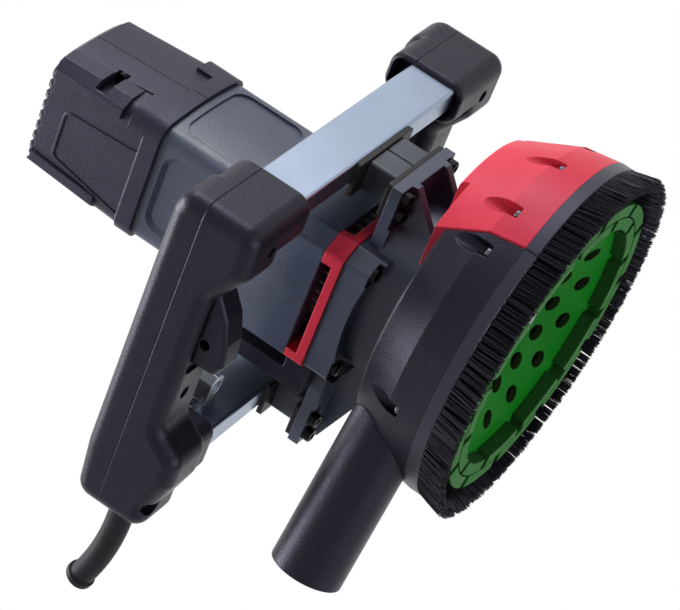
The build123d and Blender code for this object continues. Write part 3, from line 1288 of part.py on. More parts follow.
def handle_form():
    side = Plane.YZ.offset(-GRIP_OUTER_X) * handle_outline()
    grip = extrude(side, GRIP_WIDTH)
    faces = grip.faces().sort_by(Axis.X)
    grip = fillet(faces[0].edges() + faces[-1].edges(), GRIP_ROUNDING)
    head = soft_block((-GRIP_X, -COLLET_INNER_X), (HEAD_TOP, COLLET_END), (HEAD_LOW, HEAD_HIGH),
                      GRIP_CORNER, COLLET_EDGE)
    boss = soft_block((-GRIP_X, -BOSS_INNER_X), (BOSS_START, BOSS_END), (BOSS_LOW, BOSS_HIGH),
                      BOSS_ROUNDING, COLLET_EDGE)
    return grip.fuse(head, boss)


def head_hollow():
    form = block((-COLLET_INNER_X - COLLET_HOLLOW, 0), (HEAD_TOP + COLLET_RIM, COLLET_END - COLLET_RIM),
                 (HEAD_LOW + COLLET_RIM, HEAD_HIGH - COLLET_RIM))
    return fillet(form.edges().filter_by(Axis.X), COLLET_HOLLOW_CORNER)


def tube_socket(y):
    gap = SEAT_FIT
    return block((-TUBE_HALF_LENGTH - gap, 0),
                 (y - TUBE_HEIGHT / 2 - gap, y + TUBE_HEIGHT / 2 + gap), (TUBE_LOW - gap, TUBE_HIGH + gap))


def handle_body():
    body = handle_form() - head_hollow() - tube_socket(UPPER_TUBE_Y) - tube_socket(LOWER_TUBE_Y)
    half = GRIP_WIDTH / 2 - CAVITY_WALL
    last = LOWER_TUBE_Y - TUBE_HEIGHT / 2 - CAVITY_WALL
    floor = GRIP_LOW + CAVITY_WALL
    roof = GRIP_HIGH - CAVITY_WALL
    body -= block((-GRIP_X - half, -GRIP_X + half), (CAVITY_START, last), (floor, roof))
    body += rod(PILLAR_RADIUS, floor, roof, GRIP_SCREW)
    for place in HANDLE_SCREWS:
        body -= rod(HANDLE_SCREW_HEAD_RADIUS + HOLE_GAP, 0, handle_screw_seat(), place)
        body -= rod(HANDLE_SCREW_RADIUS + HOLE_GAP, 0, roof, place)
    return body - tail_recess()


def tail_recess():
    """Half-round recess over the tail screw."""
    flat = TAIL_SCREW[1] - HANDLE_SCREW_HEAD_RADIUS - HOLE_GAP
    disc = rod(TAIL_RECESS_RADIUS, 0, TAIL_LOW + TAIL_RECESS_DEPTH, TAIL_SCREW)
    return disc & block((-FAR, FAR), (flat, FAR), (0, FAR))


HANDLE_SCREWS = (HEAD_SCREW, GRIP_SCREW, TAIL_SCREW)


def handle_screw_seat():
    return GRIP_LOW + HANDLE_SCREW_DEPTH


def trigger_room():
    """Space for the trigger in the grip, open to the wheel side."""
    half = TRIGGER_WIDTH / 2 + SLIDE_GAP
    start = TRIGGER_PIN_Y - TRIGGER_PIN_RADIUS - TRIGGER_BACK - TRIGGER_CLEAR
    return block((-GRIP_X - half, -GRIP_X + half), (start, TRIGGER_END + TRIGGER_CLEAR),
                 (0, HANDLE_SPLIT - TRIGGER_ROOF))


def trigger_recess():
    half = TRIGGER_WIDTH / 2 + TRIGGER_RIM
    form = block((-GRIP_X - half, -GRIP_X + half), (HEAD_FLAT_END, TRIGGER_RIM_END),
                 (0, GRIP_LOW + TRIGGER_RIM_DEPTH))
    form -= block((-FAR, FAR), (-FAR, GRIP_START), (0, GRIP_LOW))
    return fillet(form.edges().filter_by(Axis.Z).sort_by(Axis.Y)[-2:], TRIGGER_CORNER)


def pin_hole(radius):
    half = GRIP_WIDTH / 2 - TRIGGER_PIN_COVER
    return rod_x(radius, -GRIP_X - half, -GRIP_X + half, TRIGGER_PIN_Y, TRIGGER_PIN_Z)


def split(body):
    lower = body & block((-FAR, FAR), (-FAR, FAR), (0, HANDLE_SPLIT))
    upper = body & block((-FAR, FAR), (-FAR, FAR), (HANDLE_SPLIT, FAR))
    return lower, upper


def switch_handle():
    body = handle_body()
    body = body - trigger_recess() - trigger_room() - pin_hole(TRIGGER_PIN_RADIUS + SEAT_FIT)
    body -= sleeve_path(SLEEVE_RADIUS + SEAT_FIT)
    channel = block((-GRIP_X - CABLE_RADIUS, -GRIP_X + CABLE_RADIUS), (0, HANDLE_END - SLEEVE_ROOT),
                    (CABLE_LOW, GRIP_HIGH - CAVITY_WALL))
    return split(body - channel)


def trigger():
    back = TRIGGER_PIN_Y - TRIGGER_PIN_RADIUS - TRIGGER_BACK
    toe, tip, rise = TRIGGER_TOE
    points = [(back, TRIGGER_TOP), (back, TRIGGER_PIN_Z - TRIGGER_HEEL),
              (back + TRIGGER_BEND[0], TRIGGER_LOW + TRIGGER_BEND[1]),
              (back + TRIGGER_PALM[0], TRIGGER_LOW + TRIGGER_PALM[1]), (TRIGGER_END - toe, TRIGGER_LOW),
              (TRIGGER_END - tip, TRIGGER_LOW + rise), (TRIGGER_END, TRIGGER_TOP - TRIGGER_CORNER)]
    outline = fillet(Polygon(*points, align=None).vertices(), TRIGGER_CORNER)
    side = Plane.YZ.offset(-GRIP_X - TRIGGER_WIDTH / 2) * outline
    paddle = extrude(side, TRIGGER_WIDTH)
    faces = paddle.faces().sort_by(Axis.X)
    paddle = fillet(faces[0].edges() + faces[-1].edges(), TRIGGER_ROUNDING)
    left = -GRIP_X - TRIGGER_WIDTH
    right = -GRIP_X + TRIGGER_WIDTH
    paddle -= rod_x(TRIGGER_PIN_RADIUS + RUNNING_FIT, left, right, TRIGGER_PIN_Y, TRIGGER_PIN_Z)
    return paddle - rod_x(TRIGGER_HOLE_RADIUS, left, right, TRIGGER_HOLE_Y, TRIGGER_HOLE_Z)


def switch_unit():
    half = TRIGGER_WIDTH / 2
    low = HANDLE_SPLIT - SWITCH_SINK
    high = GRIP_HIGH - CAVITY_WALL
    case = block((-GRIP_X - half, -GRIP_X + half), (SWITCH_START, SWITCH_END), (low, high))
    plunger_end = SWITCH_END - PLUNGER_INSET
    rise = (plunger_end - TRIGGER_PIN_Y) * tan(radians(TRIGGER_THROW))
    plunger = block((-GRIP_X - PLUNGER_WIDTH / 2, -GRIP_X + PLUNGER_WIDTH / 2),
                    (plunger_end - PLUNGER_WIDTH, plunger_end), (TRIGGER_TOP + rise + PLUNGER_GAP, low))
    reach = GRIP_WIDTH / 2 - CAVITY_WALL
    ears = block((-GRIP_X - reach, -GRIP_X + reach),
                 (SWITCH_START + SWITCH_EAR_INSET, SWITCH_END - SWITCH_EAR_INSET), (high - SWITCH_EAR, high))
    return case.fuse(plunger, ears)


def sleeve_path(radius, start=0.0, length=None):
    """Rod along the sleeve's line: a straight root in the handle, then a steady bend."""
    reach = SLEEVE_LENGTH if length is None else length
    angle = degrees((reach - start) / SLEEVE_BEND_RADIUS)
    turned = degrees(start / SLEEVE_BEND_RADIUS)
    section = Plane.XZ * Circle(radius)
    centre = Axis((0, 0, SLEEVE_BEND_RADIUS), (1, 0, 0))
    bend = revolve(section, centre, angle).rotate(centre, turned)
    root = Plane.XZ * Circle(radius)
    straight = extrude(root, SLEEVE_ROOT + SLEEVE_STRAIGHT)
    line = bend + straight if start == 0 else bend
    return Pos(-GRIP_X, HANDLE_END + SLEEVE_STRAIGHT, SLEEVE_HEIGHT) * line


def cable_sleeve():
    bead = sleeve_path(SLEEVE_RADIUS + SLEEVE_BEAD, SLEEVE_LENGTH - SLEEVE_BEAD_LENGTH, SLEEVE_LENGTH)
    return sleeve_path(SLEEVE_RADIUS) + bead - sleeve_path(CABLE_RADIUS)


def threaded_block():
    face = FRAME_BOTTOM - TUBE_HEIGHT
    low = TUBE_LOW + BLOCK_RISE
    high = low + BLOCK_DEPTH
    near = BLOCK_X - BLOCK_WIDTH / 2
    body = block((near, near + BLOCK_WIDTH), (face - BLOCK_HEIGHT, face), (low, high))
    crown = body.edges().filter_by(Axis.Z).sort_by(Axis.Y)[:2]
    body = chamfer(crown, BLOCK_CROWN)
    foot = block((near - BLOCK_FOOT, near), (face - BLOCK_FOOT_HEIGHT, face),
                 (low + BLOCK_FOOT_INSET, high - BLOCK_FOOT_INSET))
    foot = fillet(foot.edges().filter_by(Axis.Y).sort_by(Axis.X)[:2], BLOCK_FOOT_CORNER)
    body = body + foot - rod(BLOCK_HOLE_RADIUS, low, high, (BLOCK_X, face - BLOCK_HOLE_HEIGHT))
    return body - threaded_block_hole(HOLE_GAP)


def threaded_block_screw_place():
    x = BLOCK_X - BLOCK_WIDTH / 2 - BLOCK_FOOT / 2
    return x, FRAME_BOTTOM - TUBE_HEIGHT, TUBE_LOW + BLOCK_RISE + BLOCK_DEPTH / 2


def threaded_block_hole(gap):
    hole = Cylinder(BLOCK_SCREW_RADIUS + gap, 3 * BLOCK_FOOT_HEIGHT)
    return Pos(*threaded_block_screw_place()) * Rot(90, 0, 0) * hole


def threaded_block_screw():
    screw = pan_screw(BLOCK_FOOT_HEIGHT + TUBE_WALL, (0, 0), 0, BLOCK_SCREW_RADIUS,
                      BLOCK_SCREW_HEAD_RADIUS, BLOCK_SCREW_HEAD)
    return Pos(*threaded_block_screw_place()) * Pos(0, -BLOCK_FOOT_HEIGHT, 0) * Rot(90, 0, 0) * screw


def wiring_duct():
    near = BODY_BOTTOM_Y + DUCT_STANDOFF
    channel = block((-DUCT_HALF_X, DUCT_HALF_X), (near, near + DUCT_HEIGHT),
                    (ARM_HIGH, ARM_HIGH + DUCT_LENGTH))
    foot = block((-DUCT_HALF_X, DUCT_HALF_X), (BODY_BOTTOM_Y, near + DUCT_HEIGHT),
                 (ARM_HIGH, ARM_HIGH + DUCT_FOOT))
    body = channel + foot
    inner = (near + DUCT_WALL, near + DUCT_HEIGHT - DUCT_WALL)
    hollow = block((-DUCT_HALF_X + DUCT_WALL, DUCT_HALF_X - DUCT_WALL), inner,
                   (ARM_HIGH + DUCT_WALL, ARM_HIGH + DUCT_LENGTH))
    return body - hollow


def handle_screws():
    screws = []
    seat = handle_screw_seat()
    length = GRIP_HIGH - CAVITY_WALL - seat - SCREW_SHORT
    for x, y in HANDLE_SCREWS:
        screw = pan_screw(length, (0, 0), 0, HANDLE_SCREW_RADIUS, HANDLE_SCREW_HEAD_RADIUS,
                          HANDLE_SCREW_HEAD)
        placed = Pos(x, y, seat) * Rot(180, 0, 0) * screw
        screws.append(placed)
        screws.append(mirrored(placed))
    return group(screws)


def cable_clamp():
    end = HANDLE_END - SLEEVE_ROOT - CLAMP_INSET
    return block((-GRIP_X - CABLE_RADIUS, -GRIP_X + CABLE_RADIUS), (end - CLAMP_LENGTH, end),
                 (CABLE_LOW, CABLE_LOW + CLAMP_HEIGHT))


def all_parts():
    parts = {}
    parts["rear_cover_left"], parts["rear_cover_right"] = rear_cover_halves()
    parts["rear_cover_screws"] = rear_cover_screws()
    parts["motor_housing"] = motor_housing()
    parts["field_core"] = field_core()
    parts["field_coils"] = field_coils()
    parts["brush_holders"] = brush_pair(brush_holder)
    parts["carbon_brushes"] = brush_pair(carbon_brush)
    parts["armature_bearings"] = armature_bearings()
    parts["fan_ring"] = fan_ring()
    parts["gear_housing"] = gear_housing()
    parts["gear_housing_screws"] = gear_housing_screws()
    parts["spindle_bearings"] = spindle_bearings()
    parts["dust_hood"] = dust_hood()
    parts["dust_port"] = dust_port()
    parts["hood_screws"] = hood_screws()
    parts["upper_tube"] = cross_tube(UPPER_TUBE_Y)
    parts["lower_tube"] = cross_tube(LOWER_TUBE_Y) - threaded_block_hole(HOLE_GAP)
    parts["upper_buffer"] = rubber_buffer("upper")
    parts["lower_buffer"] = rubber_buffer("lower")
    parts["buffer_plates"] = buffer_plates()
    parts["arm_bolts"] = arm_bolts()
    parts["tube_screws"] = tube_screws()
    parts["switch_handle_wheel_shell"], parts["switch_handle_motor_shell"] = switch_handle()
    support_low, support_high = split(handle_body())
    parts["support_handle_wheel_shell"] = mirrored(support_low)
    parts["support_handle_motor_shell"] = mirrored(support_high)
    parts["handle_screws"] = handle_screws()
    parts["switch_unit"] = switch_unit()
    parts["trigger_pin"] = pin_hole(TRIGGER_PIN_RADIUS)
    parts["trigger"] = trigger()
    parts["cable_sleeve"] = cable_sleeve()
    parts["cable_clamp"] = cable_clamp()
    parts["threaded_block"] = threaded_block()
    parts["threaded_block_screw"] = threaded_block_screw()
    parts["wiring_duct"] = wiring_duct()
    parts["spindle"] = spindle()
    parts["drive_gear"] = drive_gear()
    parts["wheel_flange"] = wheel_flange()
    parts["wheel_nut"] = wheel_nut()
    parts["cup_wheel"] = cup_wheel()
    parts["diamond_segments"] = diamond_segments()
    parts["armature_shaft"] = armature_shaft()
    parts["armature_core"] = armature_core()
    parts["armature_windings"] = armature_windings()
    parts["commutator"] = commutator()
    parts["cooling_fan"] = cooling_fan()
    parts["pinion"] = pinion()
    parts["edge_segment"] = edge_segment()
    parts["edge_segment_screws"] = group(brush_screws(SEGMENT_POCKETS, EDGE_PROUD))
    parts.update(brush_strips())
    return parts


os.makedirs("parts", exist_ok=True)
for name, shape in all_parts().items():
    export_step(shape, f"parts/{name}.step")
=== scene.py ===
import json
import math
import random

import bmesh
import bpy
from mathutils import Matrix, Vector

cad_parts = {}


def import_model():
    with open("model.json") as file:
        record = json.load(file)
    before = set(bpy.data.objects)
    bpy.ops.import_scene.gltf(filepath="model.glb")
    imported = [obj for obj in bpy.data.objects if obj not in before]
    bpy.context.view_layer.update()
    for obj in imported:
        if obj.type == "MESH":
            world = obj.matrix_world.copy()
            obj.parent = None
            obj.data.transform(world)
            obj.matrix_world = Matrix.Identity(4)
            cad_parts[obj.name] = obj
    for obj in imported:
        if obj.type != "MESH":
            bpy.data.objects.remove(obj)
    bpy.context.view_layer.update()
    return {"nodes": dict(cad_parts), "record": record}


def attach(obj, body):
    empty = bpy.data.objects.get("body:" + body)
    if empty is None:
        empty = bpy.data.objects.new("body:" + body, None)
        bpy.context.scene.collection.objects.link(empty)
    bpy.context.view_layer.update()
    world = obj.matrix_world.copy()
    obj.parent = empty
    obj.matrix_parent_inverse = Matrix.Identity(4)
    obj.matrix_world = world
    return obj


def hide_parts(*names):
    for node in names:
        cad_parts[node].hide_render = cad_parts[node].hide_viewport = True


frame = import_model()

MM = 0.001
SEED = 7
random.seed(SEED)

# Camera, fitted to the photograph: its place in metres and its right, down and forward directions
CAMERA_PLACE = Vector((-1.2600, -0.9213, -0.2903))
CAMERA_RIGHT = Vector((0.50364, -0.31179, -0.80569))
CAMERA_DOWN = Vector((-0.39963, 0.74274, -0.53724))
CAMERA_FORWARD = Vector((0.76593, 0.59255, 0.24947))
FOCAL_PIXELS = 2992.0
PHOTO_WIDTH = 680.0
SENSOR = 36.0
NEAREST = 0.05
FARTHEST = 50

# Floor, in metres: pale within the first distance, white from the second, a little below the bristle tips
FLOOR_PALE = 0.3
FLOOR_WHITE = 0.6
FLOOR_SIZE = 4
FLOOR_HEIGHT = -0.0004
FLOOR_COLOUR = (0.8, 0.8, 0.8, 1)
FLOOR_ROUGH = 0.7

# Light: area lamps that aim at one point, and a weak sky that mirrors and the camera see as white
LAMP_TARGET = Vector((0, 0.03, 0.14))
LAMPS = {
    "key": {"direction": (0.3, -0.8, 0.5), "distance": 1.6, "size": 1.0, "power": 27},
    "side": {"direction": (-0.35, 0.25, 0.9), "distance": 1.3, "size": 0.9, "power": 32},
    "fill": {"direction": (-0.25, -0.25, -0.94), "distance": 1.8, "size": 1.2, "power": 17},
}
SKY = (0.9, 0.93, 1.0, 1)
SKY_STRENGTH = 0.13
WHITE = (1, 1, 1, 1)

# Colours, linear
BLACK = (0.0105, 0.0100, 0.0150)
COVER_BLACK = (0.0225, 0.022, 0.034)
SLATE = (0.040, 0.051, 0.087)
RED = (0.63, 0.036, 0.064)
GREEN = (0.004, 0.150, 0.008)
SEGMENT_GREEN = (0.022, 0.130, 0.020)
# Darker colours for the walls of the segments and the wheel, a painted shade of their gaps and holes
SEGMENT_WALL_SHADE = (0.010, 0.062, 0.009)
WHEEL_WALL_SHADE = (0.011, 0.024, 0.006)
ZINC = (0.285, 0.34, 0.44)
STEEL = (0.45, 0.46, 0.48)
BRIGHT_STEEL = (0.60, 0.63, 0.68)
BLACK_STEEL = (0.011, 0.010, 0.012)
SCREW_STEEL = (0.085, 0.090, 0.105)
RUBBER = (0.022, 0.027, 0.039)
SLEEVE = (0.006, 0.006, 0.0085)
COOL_SHEEN = (0.68, 0.68, 1.0, 1.0)
BRISTLE = (0.0095, 0.0095, 0.0125)
FAN_GREY = (0.26, 0.27, 0.28)
COPPER = (0.60, 0.26, 0.12)
IRON = (0.20, 0.20, 0.21)
CARBON = (0.020, 0.020, 0.020)

# Noise: the band of its values that is put to use, and its scales in waves per metre
NOISE_ROUGHNESS = 0.55
NOISE_LOW = 0.3
NOISE_HIGH = 0.7
PLASTIC_CLOUDS = 22
PLASTIC_SHEEN = 60
PAINT_CLOUDS = 16
PAINT_SHEEN = 40
PAINT_PEEL = 520
PAINT_FLECKS = 1300
METAL_CLOUDS = 14
METAL_SHEEN = 45
METAL_GRAIN = 900
RUBBER_DUST = 34
RUBBER_GRAIN = 1500

# How far shades and roughness vary from one end of the noise to the other
PLASTIC_SHADES = (0.9, 1.1)
PLASTIC_ROUGH_PLAY = (-0.05, 0.06)
PLASTIC_GRAIN_SHADE = 0.4
PAINT_SHADES = (0.9, 1.1)
PAINT_ROUGH_PLAY = (-0.06, 0.08)
METAL_SHADES = (0.93, 1.05)
METAL_ROUGH_PLAY = (-0.015, 0.02)
RUBBER_SHADES = (0.7, 2.3)
RUBBER_ROUGH_PLAY = (-0.08, 0.1)
STRAND_SHADES = (0.5, 2.2)
STRAND_ROUGHNESS = (0.28, 0.5)
STRAND_GLOSS = 0.5

# Depths of the bumps, in metres, and the strength of those that no material sets
GRAIN_DEPTH = 0.0003
SEAM_DEPTH = 0.0006
PEEL_DEPTH = 0.0004
FLECK_DEPTH = 0.0003
METAL_DEPTH = 0.0002
METAL_GRAIN_STRENGTH = 0.03
RUBBER_DEPTH = 0.0002
RUBBER_GRAIN_STRENGTH = 0.12

# Seams, in millimetres: the handle shells meet at a height, the cover halves at the middle
HANDLE_SEAM = 160.0
COVER_SEAM = 0.0
SEAM_HALF_WIDTH = 0.45
SEAM_SHADE = 0.35
SEAM_SHADE_END = 0.8

# Faces count as walls below the first share of the spindle's direction and as flat above the second
WALL_TILT = 0.3
FLAT_TILT = 0.8

# Edges of moulded and cast pieces shade as rounded, in millimetres
SOFT_EDGE = 0.9

# Bevels in millimetres by material, and the angles from which an edge gets one
EDGE_WIDTHS = {
    "slate_cover": 0.4,
    "slate_housing": 0.6,
    "black_plastic": 0.5,
    "red_plastic": 0.5,
    "zinc": 0.3,
    "rubber": 0.6,
    "green_paint": 0.4,
    "black_steel": 0.4,
}
OTHER_EDGE_WIDTH = 0.2
EDGE_SEGMENTS = 2
EDGE_ANGLE = math.radians(28)
CREASE_ANGLE = math.radians(13)
EDGE_ANGLES = {"dust_hood": CREASE_ANGLE, "edge_segment": CREASE_ANGLE}

# Points nearer than this, in millimetres, are joined first, and facets within this angle become one face
JOIN_DISTANCE = 0.01
FLAT_ANGLE = math.radians(0.4)

# Slivers in the top edge of this half leave no room for a bevel
CRISP = ("rear_cover_left",)

# Brush, in millimetres as in the solids
BAND_INNER = 95.0
BAND_OUTER = 102.5
BAND_LOW = 15.5
BAND_HIGH = 23.0
BAND_SOFT = 0.7
BAND_STEP_DEGREES = 1.5
BAND_FEWEST_STEPS = 8
EDGE_PROUD = 0.8
EDGE_HALF_WIDTH = 57.0
EDGE_GAP = 0.3
HOOD_STRIPS = 6
EDGE_STRIPS = 2
SPLAY = 3.3
TUFT_ROWS = 3
TUFT_PITCH = 4.4
TUFT_STRANDS = 24
TUFT_SPREAD = 1.6
TUFT_DEPTH = 0.95
TUFT_LEAN = 0.9
TUFT_RAGGED = 0.9
TUFT_FAN = (0.8, 1.3)
TUFT_FLARE = 1.2
STRAND_RADIUS = 0.27
STRAND_WIDTHS = (0.85, 1.15)
STRAND_TAPER = 0.45
STRAND_BOW_OUT = 0.3
STRAND_BOW_UP = 0.2
STRAND_SIDES = 3
STRAND_STEPS = 3


# Nodes of the materials
def shader_of(name):
    material = bpy.data.materials.new(name)
    material.use_nodes = True
    tree = material.node_tree
    return material, tree, tree.nodes["Principled BSDF"]


def add_node(tree, kind, **inputs):
    node = tree.nodes.new(kind)
    for key, value in inputs.items():
        node.inputs[key].default_value = value
    return node


def object_place(tree):
    return tree.nodes.new("ShaderNodeTexCoord").outputs["Object"]


def noise(tree, scale, detail):
    node = add_node(tree, "ShaderNodeTexNoise", Scale=scale, Detail=detail, Roughness=NOISE_ROUGHNESS)
    tree.links.new(object_place(tree), node.inputs["Vector"])
    return node.outputs["Fac"]


def span(tree, value, low, high, start=NOISE_LOW, end=NOISE_HIGH):
    """Value that runs from low to high while the given one runs from start to end."""
    node = tree.nodes.new("ShaderNodeMapRange")
    node.inputs["From Min"].default_value = start
    node.inputs["From Max"].default_value = end
    node.inputs["To Min"].default_value = low
    node.inputs["To Max"].default_value = high
    tree.links.new(value, node.inputs["Value"])
    return node.outputs["Result"]


def blend_colour(tree, share, first, second):
    node = tree.nodes.new("ShaderNodeMix")
    node.data_type = "RGBA"
    node.inputs["A"].default_value = (*first, 1)
    node.inputs["B"].default_value = (*second, 1)
    tree.links.new(share, node.inputs["Factor"])
    return node.outputs["Result"]


def scaled(tree, colour, factor):
    node = tree.nodes.new("ShaderNodeVectorMath")
    node.operation = "SCALE"
    tree.links.new(colour, node.inputs[0])
    tree.links.new(factor, node.inputs["Scale"])
    return node.outputs["Vector"]


def bump(tree, height, distance, strength, under=None):
    node = add_node(tree, "ShaderNodeBump", Distance=distance, Strength=strength)
    tree.links.new(height, node.inputs["Height"])
    if under is not None:
        tree.links.new(under, node.inputs["Normal"])
    return node.outputs["Normal"]


def rounded(tree, radius):
    """Normal that turns softly round an edge."""
    return add_node(tree, "ShaderNodeBevel", Radius=radius * MM).outputs["Normal"]


def magnitude(tree, value):
    node = tree.nodes.new("ShaderNodeMath")
    node.operation = "ABSOLUTE"
    tree.links.new(value, node.inputs[0])
    return node.outputs[0]


def either(tree, first, second):
    node = tree.nodes.new("ShaderNodeMath")
    node.operation = "MAXIMUM"
    tree.links.new(first, node.inputs[0])
    tree.links.new(second, node.inputs[1])
    return node.outputs[0]


def mixed(tree, share, first, second):
    node = tree.nodes.new("ShaderNodeMixShader")
    tree.links.new(share, node.inputs["Fac"])
    tree.links.new(first, node.inputs[1])
    tree.links.new(second, node.inputs[2])
    return node.outputs["Shader"]


def seam_depth(tree, axis, place):
    """Zero on the plane where two shells meet and one away from it."""
    split = tree.nodes.new("ShaderNodeSeparateXYZ")
    tree.links.new(object_place(tree), split.inputs[0])
    away = tree.nodes.new("ShaderNodeMath")
    away.operation = "SUBTRACT"
    tree.links.new(split.outputs[axis], away.inputs[0])
    away.inputs[1].default_value = place * MM
    return span(tree, magnitude(tree, away.outputs[0]), 0.0, 1.0, 0.0, SEAM_HALF_WIDTH * MM)


def facing(tree):
    """One on faces square to the spindle and zero on the walls between them."""
    split = tree.nodes.new("ShaderNodeSeparateXYZ")
    tree.links.new(tree.nodes.new("ShaderNodeTexCoord").outputs["Normal"], split.inputs[0])
    return span(tree, magnitude(tree, split.outputs["Z"]), 0.0, 1.0, WALL_TILT, FLAT_TILT)


def lighter(colour, factor):
    return tuple(min(1.0, c * factor) for c in colour)


def shaded(tree, share, colour, shades):
    """The colour between a darker and a lighter shade of it."""
    darker, paler = shades
    return blend_colour(tree, share, lighter(colour, darker), lighter(colour, paler))


def uneven(tree, value, rough, play):
    """Roughness that varies a little round a middle value."""
    less, more = play
    return span(tree, value, rough + less, rough + more)


# Materials
def moulded(name, colour, rough=0.34, grain=0.6, grain_scale=1200, gloss=0.21, seam=None):
    """Moulded plastic with a fine spark-eroded grain, cloudy gloss and, on shells, the line where they meet."""
    material, tree, shader = shader_of(name)
    cloud = noise(tree, PLASTIC_CLOUDS, detail=4)
    grit = noise(tree, grain_scale, detail=2)
    shade = shaded(tree, span(tree, cloud, 0, 1), colour, PLASTIC_SHADES)
    contrast = PLASTIC_GRAIN_SHADE * grain
    shade = scaled(tree, shade, span(tree, grit, 1 - contrast, 1 + contrast))
    sheen = uneven(tree, noise(tree, PLASTIC_SHEEN, detail=3), rough, PLASTIC_ROUGH_PLAY)
    tree.links.new(sheen, shader.inputs["Roughness"])
    normal = bump(tree, grit, GRAIN_DEPTH, grain, rounded(tree, SOFT_EDGE))
    if seam is not None:
        depth = seam_depth(tree, *seam)
        shade = scaled(tree, shade, span(tree, depth, SEAM_SHADE, 1.0, 0.0, SEAM_SHADE_END))
        normal = bump(tree, depth, SEAM_DEPTH, 1.0, normal)
    tree.links.new(shade, shader.inputs["Base Color"])
    tree.links.new(normal, shader.inputs["Normal"])
    shader.inputs["Specular IOR Level"].default_value = gloss
    shader.inputs["Specular Tint"].default_value = COOL_SHEEN
    return material


def painted(name, colour, rough, peel, gloss, sparkle=0.1, wall_shade=None):
    """Paint on a casting: slight orange peel, cloudy gloss, a fine speckle and, on the wheel, walls darkened as
    painted shade.
    """
    material, tree, shader = shader_of(name)
    fleck = noise(tree, PAINT_FLECKS, detail=2)
    # On the wheel the walls get the darker colour, a painted shade of its gaps and holes; flat faces keep the
    # paint colour
    shade = blend_colour(tree, facing(tree), wall_shade or colour, colour)
    shade = scaled(tree, shade, span(tree, noise(tree, PAINT_CLOUDS, detail=4), *PAINT_SHADES))
    shade = scaled(tree, shade, span(tree, fleck, 1 - sparkle, 1 + sparkle))
    tree.links.new(shade, shader.inputs["Base Color"])
    sheen = uneven(tree, noise(tree, PAINT_SHEEN, detail=3), rough, PAINT_ROUGH_PLAY)
    tree.links.new(sheen, shader.inputs["Roughness"])
    skin = bump(tree, noise(tree, PAINT_PEEL, detail=2), PEEL_DEPTH, peel, rounded(tree, SOFT_EDGE))
    tree.links.new(bump(tree, fleck, FLECK_DEPTH, 2 * sparkle, skin), shader.inputs["Normal"])
    shader.inputs["Specular IOR Level"].default_value = gloss
    return material


def plated(name, colour, rough):
    """Plated or turned metal with a cloudy sheen and a faint grain."""
    material, tree, shader = shader_of(name)
    cloud = noise(tree, METAL_CLOUDS, detail=3)
    shade = shaded(tree, span(tree, cloud, 0, 1), colour, METAL_SHADES)
    tree.links.new(shade, shader.inputs["Base Color"])
    sheen = uneven(tree, noise(tree, METAL_SHEEN, detail=2), rough, METAL_ROUGH_PLAY)
    tree.links.new(sheen, shader.inputs["Roughness"])
    normal = bump(tree, noise(tree, METAL_GRAIN, detail=2), METAL_DEPTH, METAL_GRAIN_STRENGTH)
    tree.links.new(normal, shader.inputs["Normal"])
    shader.inputs["Metallic"].default_value = 1.0
    return material


def soft_rubber(name, colour, rough, gloss):
    """Rubber, paler and duller where dust clings to it."""
    material, tree, shader = shader_of(name)
    dust = noise(tree, RUBBER_DUST, detail=5)
    shade = shaded(tree, span(tree, dust, 0, 1), colour, RUBBER_SHADES)
    tree.links.new(shade, shader.inputs["Base Color"])
    tree.links.new(uneven(tree, dust, rough, RUBBER_ROUGH_PLAY), shader.inputs["Roughness"])
    normal = bump(tree, noise(tree, RUBBER_GRAIN, detail=3), RUBBER_DEPTH, RUBBER_GRAIN_STRENGTH)
    tree.links.new(normal, shader.inputs["Normal"])
    shader.inputs["Specular IOR Level"].default_value = gloss
    return material


def nylon(name, colour):
    """Bristles: each strand has its own depth of black and its own sheen."""
    material, tree, shader = shader_of(name)
    own = tree.nodes.new("ShaderNodeNewGeometry").outputs["Random Per Island"]
    tree.links.new(shaded(tree, own, colour, STRAND_SHADES), shader.inputs["Base Color"])
    tree.links.new(span(tree, own, *STRAND_ROUGHNESS, 0, 1), shader.inputs["Roughness"])
    shader.inputs["Specular IOR Level"].default_value = STRAND_GLOSS
    shader.inputs["Specular Tint"].default_value = COOL_SHEEN
    return material


MATERIALS = {
    "slate_cover": moulded("slate cover plastic", COVER_BLACK, rough=0.39, grain_scale=1000, gloss=0.22,
                           seam=("X", COVER_SEAM)),
    "slate_housing": painted("slate housing paint", SLATE, rough=0.34, peel=0.1, gloss=0.42, sparkle=0.22),
    "black_plastic": moulded("black moulded plastic", BLACK),
    "red_plastic": moulded("red moulded plastic", RED, rough=0.42, grain=0.3, grain_scale=1300, gloss=0.16),
    "grey_plastic": moulded("grey fan plastic", FAN_GREY, rough=0.5, grain=0.1),
    "zinc": plated("zinc plate", ZINC, rough=0.3),
    "black_steel": painted("black buffer plate", BLACK_STEEL, rough=0.42, peel=0.1, gloss=0.2),
    "rubber": soft_rubber("buffer rubber", RUBBER, rough=0.45, gloss=0.4),
    "steel": plated("turned steel", STEEL, rough=0.3),
    "bright_screws": plated("plain screw steel", SCREW_STEEL, rough=0.3),
    "dark_screws": plated("blackened screw steel", BLACK_STEEL, rough=0.34),
    # The wheel's walls take a darker colour as painted shade
    "green_paint": painted("green wheel paint", GREEN, rough=0.55, peel=0.16, gloss=0.08, sparkle=0.2,
                           wall_shade=WHEEL_WALL_SHADE),
    "core_iron": plated("laminated iron", IRON, rough=0.45),
    "copper": plated("winding copper", COPPER, rough=0.35),
    "carbon": moulded("pressed carbon", CARBON, rough=0.6),
    "bristle": nylon("bristle nylon", BRISTLE),
}
HANDLE_PLASTIC = moulded("black handle plastic", BLACK, seam=("Z", HANDLE_SEAM))
